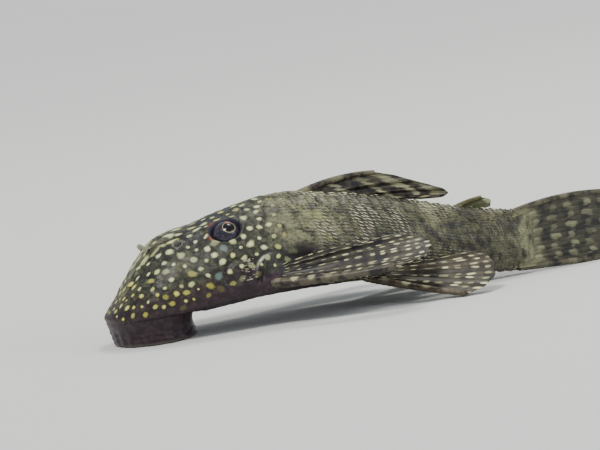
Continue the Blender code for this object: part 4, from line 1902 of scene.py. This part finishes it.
@dataclass
class Fin:
    """A fin of bony rays in a thin web, with a spine at its first ray, and at its last where it has two."""

    name: str
    roots: Array
    tips: Array
    bows: Array
    rays: int
    spines: tuple[tuple[float, float], ...]
    dashes: Dashes
    web: float = 0.16
    ray_root: float = 0.42
    ray_tip: float = 0.14
    pleat: float = 0.0
    thick_root: float = 0.5
    root_long: float = 0.10
    steps: int = 72
    warm: float = 0.0
    warm_spine: float = 0.05
    spine_round: float = -1.0  # 1 where a spine's spots reach all round it
    # Pale at the fin's root, partly its own colour and partly painted light that lifts the shade where it
    # meets the stalk
    green: float = 0.0
    pale_root_and_light: float = 0.0
    wash: float = 0.0  # how far the whole fin turns pale
    per_ray: int = 10

    def mirrored(self) -> "Fin":
        """The same fin on the other side."""
        turned = {key: getattr(self, key) * [1, -1, 1] for key in ("roots", "tips", "bows")}
        return replace(self, name=self.name.replace("left", "right"), **turned)

    @staticmethod
    def between(values: Array, at: Array) -> Array:
        """The value at a place along a list of points, on a smooth curve through them.

        Args:
            values: The points.
            at: Places along the list, counted in points.

        Returns:
            One row for each place.
        """
        last = len(values) - 1
        i = np.clip(at.astype(int), 0, last - 1)
        t = (at - i)[..., None]
        before, start = values[np.maximum(i - 1, 0)], values[i]
        end, after = values[i + 1], values[np.minimum(i + 2, last)]
        leave, arrive = (end - before) / 2, (after - start) / 2
        step = end - start
        return start + step * t + ((leave - step) * (1 - t) - (arrive - step) * t) * (1 - t) * t

    def middle(self, ray: Array, share: Array) -> Array:
        """A point of the fin's middle sheet, by its ray number and its share along the ray.

        Args:
            ray: Ray numbers, whole on a ray.
            share: Shares along the ray.

        Returns:
            Places in millimetres.
        """
        at = ray / (self.rays - 1) * (len(self.roots) - 1)
        root, tip, bow = (self.between(v, at) for v in (self.roots, self.tips, self.bows))
        s = share[..., None]
        return root + (tip - root) * s + bow * 4 * s * (1 - s)

    def make_web(self, form: BodyForm) -> tuple[Piece, Array]:
        """The web with its rays, and the numbers that its material reads.

        Args:
            form: The body's form.

        Returns:
            The web, and a row of six numbers for each vertex.
        """
        made, across, along, side = slab(self.name, (self.rays - 1) * self.per_ray, self.steps)
        ray = across * (self.rays - 1)
        off = ray - np.round(ray)
        fork = 0.23 * ramp(along, 0.40, 0.95)
        crest = np.maximum(bump(off - fork, 0.13), bump(off + fork, 0.13))
        scallop = 1 - 0.012 * (1 - bump(off, 0.3)) * (along > 0.9)
        share = along * scallop
        middle = self.middle(ray, share)
        wide = self.middle(np.clip(ray + 0.05, 0, self.rays - 1), share)
        wide = wide - self.middle(np.clip(ray - 0.05, 0, self.rays - 1), share)
        long = self.middle(ray, share + 0.01) - self.middle(ray, share - 0.01)
        normal = unit(np.cross(wide, long))
        half = self.web / 2 + crest * (self.ray_root + (self.ray_tip - self.ray_root) * along) / 2
        half = half + self.thick_root * bump(along, self.root_long)
        half = half * (1 - 0.55 * along**8)
        joints = 0.02 * crest * np.sin(2 * math.pi * along * 26)
        fold = self.pleat * np.cos(math.pi * ray) * ramp(along, 0.05, 0.4)
        placed = middle + normal * (side * (half + joints) + fold)[:, None]
        set_places(made, form.world(placed))
        return made, self.colours(ray, along, crest)

    def colours(self, ray: Array, along: Array, crest: Array) -> Array:
        """The six numbers that the web's material reads at each vertex.

        Args:
            ray: Ray numbers, whole on a ray.
            along: Shares along the ray.
            crest: How far on a ray, 0 to 1.

        Returns:
            The dash, the crest and the warm tone, then the dash's strength, the green and the pale root,
            which is partly painted light.
        """
        plan = self.dashes
        nearest = np.round(ray)
        whole = self.middle(nearest, np.ones_like(ray)) - self.middle(nearest, 0 * ray)
        length = np.linalg.norm(whole, axis=-1)
        across = nearest * plan.on_rays + ray * (1 - plan.on_rays)
        phase = (along * length - plan.start) / plan.period + plan.drift * across
        phase = phase + 0.13 * np.sin(1.9 * nearest + 0.8 * along * length)
        wave = 0.5 + 0.5 * np.cos(2 * math.pi * phase) + (plan.weight - 0.5)
        dash = wave * (1 - plan.on_rays * (1 - ramp(crest, 0.3, 0.8)))
        if plan.wide:
            dash = wave * bump(ray - plan.every * np.round(ray / plan.every), plan.wide)
            crest = crest * (0.1 + 0.7 * np.clip(wave, 0, 1))
        chance = np.sin(12.9898 * np.round(ray / plan.every) + 78.233 * np.round(phase)) * 43758.5453
        strength = plan.strong * (0.3 + 0.8 * (chance - np.floor(chance)))
        warm = self.warm * ramp(along, 0.1, 0.5) * (0.5 + 0.5 * np.cos(ray * 1.7))
        # Partly the fin's pale base and partly painted light over the shade at its root
        pale_root_and_light = self.pale_root_and_light * ramp(along, 0.32, 0.12) + self.wash
        strength = strength * ramp(along, 0.0, 0.12)
        kinds = [dash, crest, warm, strength, np.full_like(ray, self.green), pale_root_and_light]
        return np.clip(np.stack(kinds, axis=-1), 0, 1)

    def make_spine(self, form: BodyForm, which: int, radii: tuple[float, float]) -> tuple[Piece, Array]:
        """The stout spine along the first or the last ray.

        Args:
            form: The body's form.
            which: 0 for the first ray, and 1 for the last.
            radii: Its radius at the root and at the tip.

        Returns:
            The spine, and a row of six numbers for each vertex.
        """
        number = float(which * (self.rays - 1))
        length = float(np.linalg.norm(self.tips[-which] - self.roots[-which]))
        held = {}

        def place(turn: Array, share: Array) -> Array:
            """Lays the globe out.

            Args:
                turn: Radians round the path.
                share: The share along it.

            Returns:
                Points in metres.
            """
            ray = np.full_like(share, number)
            centre = self.middle(ray, share)
            ahead = unit(self.middle(ray, share + 0.01) - self.middle(ray, share - 0.01))
            one = unit(np.cross(ahead, [0, 0, 1.0]))
            other = np.cross(ahead, one)
            radius = radii[0] + (radii[1] - radii[0]) * share
            close = np.sqrt(np.clip(1 - (np.clip(share - 0.965, 0, None) / 0.035) ** 2, 0, 1))
            radius = radius * close * (1 + 0.05 * np.sin(share * length * 5.2) * np.cos(turn * 3))
            ring = one * np.cos(turn)[:, None] + other * np.sin(turn)[:, None]
            held["colours"] = self.spine_colours(share * length, ring[:, 2])
            return form.world(centre + ring * radius[:, None])

        made = round_body(f"{self.name}_spine_{which}", 28, 88, place)
        return made, held["colours"]

    def spine_colours(self, along: Array, facing_up: Array) -> Array:
        """A spine's colours: long pale spots on its upper face, of uneven strength.

        Args:
            along: Millimetres from the root.
            facing_up: How far each vertex faces up, -1 to 1.

        Returns:
            A row of six numbers for each vertex, as colours gives them.
        """
        phase = (along - self.dashes.start) / (self.dashes.period * 1.4)
        wave = 0.5 + 0.5 * np.cos(2 * math.pi * phase)
        dash = wave * (0.4 + 0.5 * np.maximum(facing_up, self.spine_round))
        chance = np.sin(37.7 * np.round(phase) + 4.1) * 43758.5453
        strength = self.dashes.strong * (0.2 + 0.6 * (chance - np.floor(chance))) * ramp(along, 22.0, 10.0)
        warm = np.full_like(dash, self.warm_spine)
        kinds = [dash, 0.9 + 0 * dash, warm, strength, self.green + 0 * dash, self.wash + 0 * dash]
        return np.clip(np.stack(kinds, axis=-1), 0, 1)

    def build(self, form: BodyForm, material: Material) -> Piece:
        """Makes the fin and dresses it.

        Args:
            form: The body's form.
            material: What it is made of.

        Returns:
            The piece.
        """
        pieces, numbers = [], []
        made, held = self.make_web(form)
        pieces.append(made)
        numbers.append(held)
        for which, radii in enumerate(self.spines):  # 0 is at the first ray, and 1 at the last
            spine, held = self.make_spine(form, which, radii)
            pieces.append(spine)
            numbers.append(held)
        whole = joined(pieces)
        whole.name = f"{self.name}_rays"
        colours = np.concatenate(numbers)
        set_vectors(whole, "fin", colours[:, :3])
        set_vectors(whole, "tone", colours[:, 3:])
        drop_unwraps(whole)
        return finish(whole, material, (self.name,))


def spread(first: Sequence[float], last: Sequence[float], count: int) -> Array:
    """Rows evenly spaced from the first to the last."""
    return np.linspace(np.array(first, float), np.array(last, float), count)


def make_fins(form: BodyForm) -> list[Fin]:
    """Every fin, in its folded or spread pose.

    Args:
        form: The body's form.

    Returns:
        The fins.
    """
    pectoral_tips = (
        (56.6, -23.6, 9.4), (61.0, -22.6, 9.7), (64.3, -20.6, 10.6),
        (65.8, -17.9, 12.0), (64.6, -15.7, 13.5), (60.2, -14.7, 14.6), (54.4, -14.3, 14.7),
    )
    pectoral = Fin(
        "pectoral_fin_left",
        spread((29.8, -11.6, 9.2), (32.8, -11.6, 11.8), 7),
        np.array(pectoral_tips),
        spread((0, -0.9, -0.5), (0, -1.4, 0.6), 7),
        rays=7,
        spines=((1.1, 0.72),),
        dashes=Dashes(2.5, drift=0.16, start=1.0, weight=0.48, strong=0.9),
        pleat=0.16,
    )
    pelvic_tips = (
        (71.8, -18.4, 0.6), (75.6, -18.6, 1.5), (78.3, -17.4, 3.3),
        (79.3, -15.5, 5.3), (78.1, -13.7, 7.2), (74.8, -12.2, 8.4),
    )
    pelvic = Fin(
        "pelvic_fin_left",
        spread((53.2, -6.4, 6.2), (56.0, -6.4, 7.8), 6),
        np.array(pelvic_tips),
        spread((0, -0.5, -0.3), (0, -1.0, -0.3), 6),
        rays=6,
        spines=((0.85, 0.55),),
        dashes=Dashes(3.1, drift=0.10, start=0.6, weight=0.55, strong=0.95),
        pleat=0.16,
        warm=0.12,
        warm_spine=0.2,
        wash=0.06,
    )
    dorsal_tips = (
        (60.6, 0, 26.5), (64.6, 0, 25.2), (68.2, 0, 23.6), (71.6, 0, 22.1),
        (74.4, 0, 20.8), (75.6, 0, 19.6), (73.8, 0, 19.0), (69.2, 0, 19.3),
    )
    dorsal_roots = spread((42.9, 0, 0), (64.1, 0, 0), 8)
    dorsal_roots[:, 2] = form.value(dorsal_roots[:, 0], TOP) - 1.0
    dorsal = Fin(
        "dorsal_fin",
        dorsal_roots,
        np.array(dorsal_tips),
        spread((0, 0, 0.95), (0, 0, 0.2), 8),
        rays=8,
        spines=((0.8, 0.45),),
        dashes=Dashes(5.2, drift=0.28, start=2.0, on_rays=0.25, weight=0.42, strong=0.45),
        spine_round=0.8,
        pleat=0.34,
    )
    adipose = Fin(
        "adipose_fin",
        np.array([(76.0, 0, 16.1), (77.8, 0, 15.6), (79.8, 0, 15.0)]),
        np.array([(82.6, 0, 17.5), (84.4, 0, 16.7), (84.2, 0, 15.3)]),
        np.array([(0, 0, 0.25), (0, 0, 0.1), (0, 0, -0.1)]),
        rays=3,
        spines=((0.62, 0.42),),
        dashes=Dashes(9.0, start=7.0, on_rays=0.0, weight=0.3, strong=0.3),
        steps=28,
        green=0.45,
        warm_spine=0.3,
    )
    anal = Fin(
        "anal_fin",
        spread((67.4, 0, 5.6), (72.0, 0, 5.0), 4),
        np.array([(77.8, 0, 0.75), (80.2, 0, 0.95), (81.8, 0, 1.25), (82.4, 0, 1.6)]),
        spread((0, 0, -0.6), (0, 0, -0.6), 4),
        rays=5,
        spines=((0.5, 0.32),),
        dashes=Dashes(2.6, drift=0.1, weight=0.5),
        steps=40,
        warm=0.4,
    )
    caudal_tips = (
        (109.6, 0, 14.2), (109.9, 0, 12.3), (109.4, 0, 10.2), (109.0, 0, 8.2),
        (109.3, 0, 6.2), (110.4, 0, 4.2), (112.0, 0, 2.4), (113.6, 0, 0.6),
    )
    stalk_top = float(form.value(np.array(STANDARD_LENGTH), TOP)) - 0.9
    stalk_bottom = float(form.value(np.array(STANDARD_LENGTH), BOTTOM)) + 0.7
    caudal = Fin(
        "caudal_fin",
        spread((88.2, 0, stalk_top), (88.2, 0, stalk_bottom), 8),
        np.array(caudal_tips),
        spread((0, 0, 1.0), (0, 0, -0.3), 8),
        rays=15,
        spines=((0.72, 0.45), (0.8, 0.6)),
        dashes=Dashes(3.95, start=1.4, weight=0.5, strong=0.2, every=2, wide=0.9),
        warm_spine=0.0,
        green=0.07,
        spine_round=0.6,
        pale_root_and_light=0.8,
        thick_root=1.6,
        root_long=0.17,
        pleat=0.05,
        per_ray=8,
    )
    return [pectoral, pectoral.mirrored(), pelvic, pelvic.mirrored(), dorsal, adipose, anal, caudal]


# Eyes and teeth


@dataclass
class Eye:
    """An eyeball with its pupil, ring and iris."""

    surface: BodySurface
    side: Side
    cornea: float = 0.16  # how far the cornea stands over the globe

    def build(self, material: Material) -> Piece:
        """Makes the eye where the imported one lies.

        Args:
            material: What it is made of.

        Returns:
            The piece.
        """
        low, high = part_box(f"eye_{self.side.word}")
        centre = np.array((low + high) / 2)
        axis = np.array(self.surface.relief.eye_axis) * [1, self.side.value, 1]
        axis = unit(axis + np.array([0.30, 0.25 * self.side.value, 0.08]))
        up = unit(np.array([0, 0, 1.0]) - axis * axis[2])
        fore = np.cross(axis, up)
        held = {}

        def place(turn: Array, share: Array) -> Array:
            """Lays the globe out.

            Args:
                turn: Radians round the path.
                share: The share along it.

            Returns:
                Points in metres.
            """
            tilt = share**1.25 * math.pi
            out = EYE_RADIUS * np.sin(tilt)
            bulge = EYE_RADIUS + self.cornea * bump(tilt, 0.5)
            ahead, aside = np.cos(tilt), np.sin(tilt)
            ring = up * np.cos(turn)[:, None] + fore * np.sin(turn)[:, None]
            high = out * np.cos(turn)
            level = out * np.sin(turn) * np.sign(fore[0]) - 0.25
            lobe = ramp(np.abs(level), 0.6, 0.3) * ramp(high, 0.75, 1.0) * ramp(out, 2.4, 2.0) * (ahead > 0)
            held["gaze"] = np.stack([np.where(ahead < 0, 9.0, out), lobe, 0 * out], axis=-1)
            return centre + (axis * ahead[:, None] + ring * aside[:, None]) * (bulge / 1000)[:, None]

        made = round_body(f"eyeball_{self.side.word}", 64, 56, place)
        set_vectors(made, "gaze", held["gaze"])
        drop_unwraps(made)
        return finish(made, material, (f"eye_{self.side.word}",))


@dataclass
class MouthTeeth:
    """The two rows of small teeth in the sucker's mouth."""

    form: BodyForm
    mouth_x: float = 9.9
    pairs: int = 11  # teeth on each side of a row
    first_y: float = 0.35
    pitch: float = 0.22
    thick: float = 0.085
    thin: float = 0.05

    def build(self, material: Material) -> Piece:
        """Makes the teeth as one piece.

        Args:
            material: What it is made of.

        Returns:
            The piece.
        """
        pegs = []
        for jaw in (-1, 1):
            for side in Side:
                for k in range(self.pairs):
                    y = side.value * (self.first_y + self.pitch * k)
                    root = np.array([self.mouth_x + jaw * (1.1 - 0.03 * k), y, 1.45])
                    tip = np.array([self.mouth_x + jaw * (0.5 - 0.02 * k), y * 1.05, 0.42])
                    pegs.append(self.make_tooth(f"tooth_{len(pegs)}", root, tip))
        whole = joined(pegs)
        whole.name = "mouth_teeth"
        drop_unwraps(whole)
        return finish(whole, material)

    def make_tooth(self, name: str, root: Array, tip: Array) -> Piece:
        """A short tapered tooth.

        Args:
            name: Its name.
            root: Its root.
            tip: Its tip.

        Returns:
            The tooth.
        """

        def thick(share: Array) -> Array:
            """The tooth's radius, rounded at its ends."""
            radius = self.thick + (self.thin - self.thick) * share
            return radius * np.sin(np.clip(share, 0.02, 0.98) * math.pi) ** 0.4

        return make_peg(name, (6, 5), (root, tip, np.array([0.1, 1.0, 0.2])), thick, self.form)


# The studio


@dataclass(frozen=True)
class Lamp:
    """A soft light that faces the fish. A sun stands for a wide one, and lights the floor evenly."""

    name: str
    place: tuple[float, float, float]  # metres
    width: float  # metres, or a sun's degrees
    power: float  # watts, or a sun's watts on a square metre
    colour: str
    sun: bool = False

    def make(self) -> None:
        """Adds the light."""
        data = bpy.data.lights.new(self.name, "SUN" if self.sun else "AREA")
        if self.sun:
            data.angle = math.radians(self.width)
        else:
            data.size = self.width
        data.energy = self.power
        data.color = linear(self.colour)[:3]
        made = bpy.data.objects.new(self.name, data)
        made.location = self.place
        made.rotation_euler = (-Vector(self.place)).to_track_quat("-Z", "Y").to_euler()
        bpy.context.scene.collection.objects.link(made)


@dataclass(frozen=True)
class Studio:
    """A pale floor, soft lights and the camera at the photo's angle."""

    floor_width: float = 12.0
    aim: tuple[float, float, float] = (43.1108, 0.0, 18.3276)  # millimetres in the fish's frame
    distance: float = 700.0
    turn: float = 12.0  # degrees by which the view turns from straight across towards the tail
    down: float = 6.0
    roll: float = 8.5  # the rock in the photo slopes by this much
    field: float = 123.6  # millimetres across the picture at the fish
    sensor: float = 36.0
    sky: str = "#e6eaee"
    sky_power: float = 0.75
    lamps: tuple[Lamp, ...] = (
        Lamp("fill", (0.55, -0.55, 0.30), 0.35, 1.6, "#eef4ff"),
        Lamp("rim", (0.26, 0.22, 0.83), 0.22, 2.7, "#fffbec"),
        # The key light is as wide as a large soft box, and it lights the floor evenly
        Lamp("key", (-0.34, -0.50, 0.80), 16.0, 2.4, "#fffaf2", sun=True),
    )

    def build(self) -> None:
        """Makes the floor, the lights, the sky and the camera."""
        clear_selection()
        bpy.ops.mesh.primitive_grid_add(x_subdivisions=8, y_subdivisions=8, size=self.floor_width)
        floor = bpy.context.object
        floor.name = "studio_floor"
        floor.data.materials.append(BOARD.make())
        for lamp in self.lamps:
            lamp.make()
        world = bpy.data.worlds.new("pale_room")
        bpy.context.scene.world = world
        world.use_nodes = True
        sky = world.node_tree.nodes["Background"]
        sky.inputs["Color"].default_value = linear(self.sky)
        sky.inputs["Strength"].default_value = self.sky_power
        self.add_camera()

    def add_camera(self) -> None:
        """Adds the camera, turned, tipped and rolled as the photo's was."""
        turn, down, roll = (math.radians(a) for a in (self.turn, self.down, self.roll))
        ahead = Vector((math.sin(turn) * math.cos(down), math.cos(turn) * math.cos(down), -math.sin(down)))
        right = Vector((math.cos(turn), -math.sin(turn), 0))
        up = right.cross(ahead)
        across = right * math.cos(roll) - up * math.sin(roll)
        above = right * math.sin(roll) + up * math.cos(roll)
        aim = Vector((self.aim[0] - TOTAL_LENGTH / 2, self.aim[1], self.aim[2])) / 1000
        data = bpy.data.cameras.new("photo_camera")
        data.sensor_width = self.sensor
        data.lens = self.sensor * self.distance / self.field
        data.clip_start = 0.05
        data.clip_end = 50
        made = bpy.data.objects.new("photo_camera", data)
        turned = Matrix((across, above, -ahead)).transposed().to_4x4()
        made.matrix_world = Matrix.Translation(aim - ahead * self.distance / 1000) @ turned
        bpy.context.scene.collection.objects.link(made)
        bpy.context.scene.camera = made


def main() -> None:
    """Builds the fish and the studio in order."""
    logging.basicConfig(level=logging.INFO, format="%(message)s")
    Studio().build()
    form = BodyForm()
    surface = BodySurface(form)
    markings = Markings(surface)
    LOG.info("markings: %d spots", len(markings.centres))
    skin_material = Hide().make()
    scute_material = SCUTE.make()
    horn_material = HORN.make()
    Skin(surface, markings).build(skin_material)
    scutes = Scutes(surface, markings)
    spinules = Spinules(surface, markings)
    for side in Side:
        scutes.build(side, scute_material)
        spinules.build(f"flank_spinules_{side.word}", spinules.on_scutes(scutes, side), horn_material)
    spinules.build("head_spinules", spinules.on_head(), horn_material)
    spinules.build("cheek_spines", spinules.on_cheeks(), horn_material)
    fin_material = RayedWeb().make()
    for fin in make_fins(form):
        fin.build(form, fin_material)
    eye_material = WetEye().make()
    for side in Side:
        Eye(surface, side).build(eye_material)
    MouthTeeth(form).build(TOOTH.make())


if __name__ == "__main__":
    main()
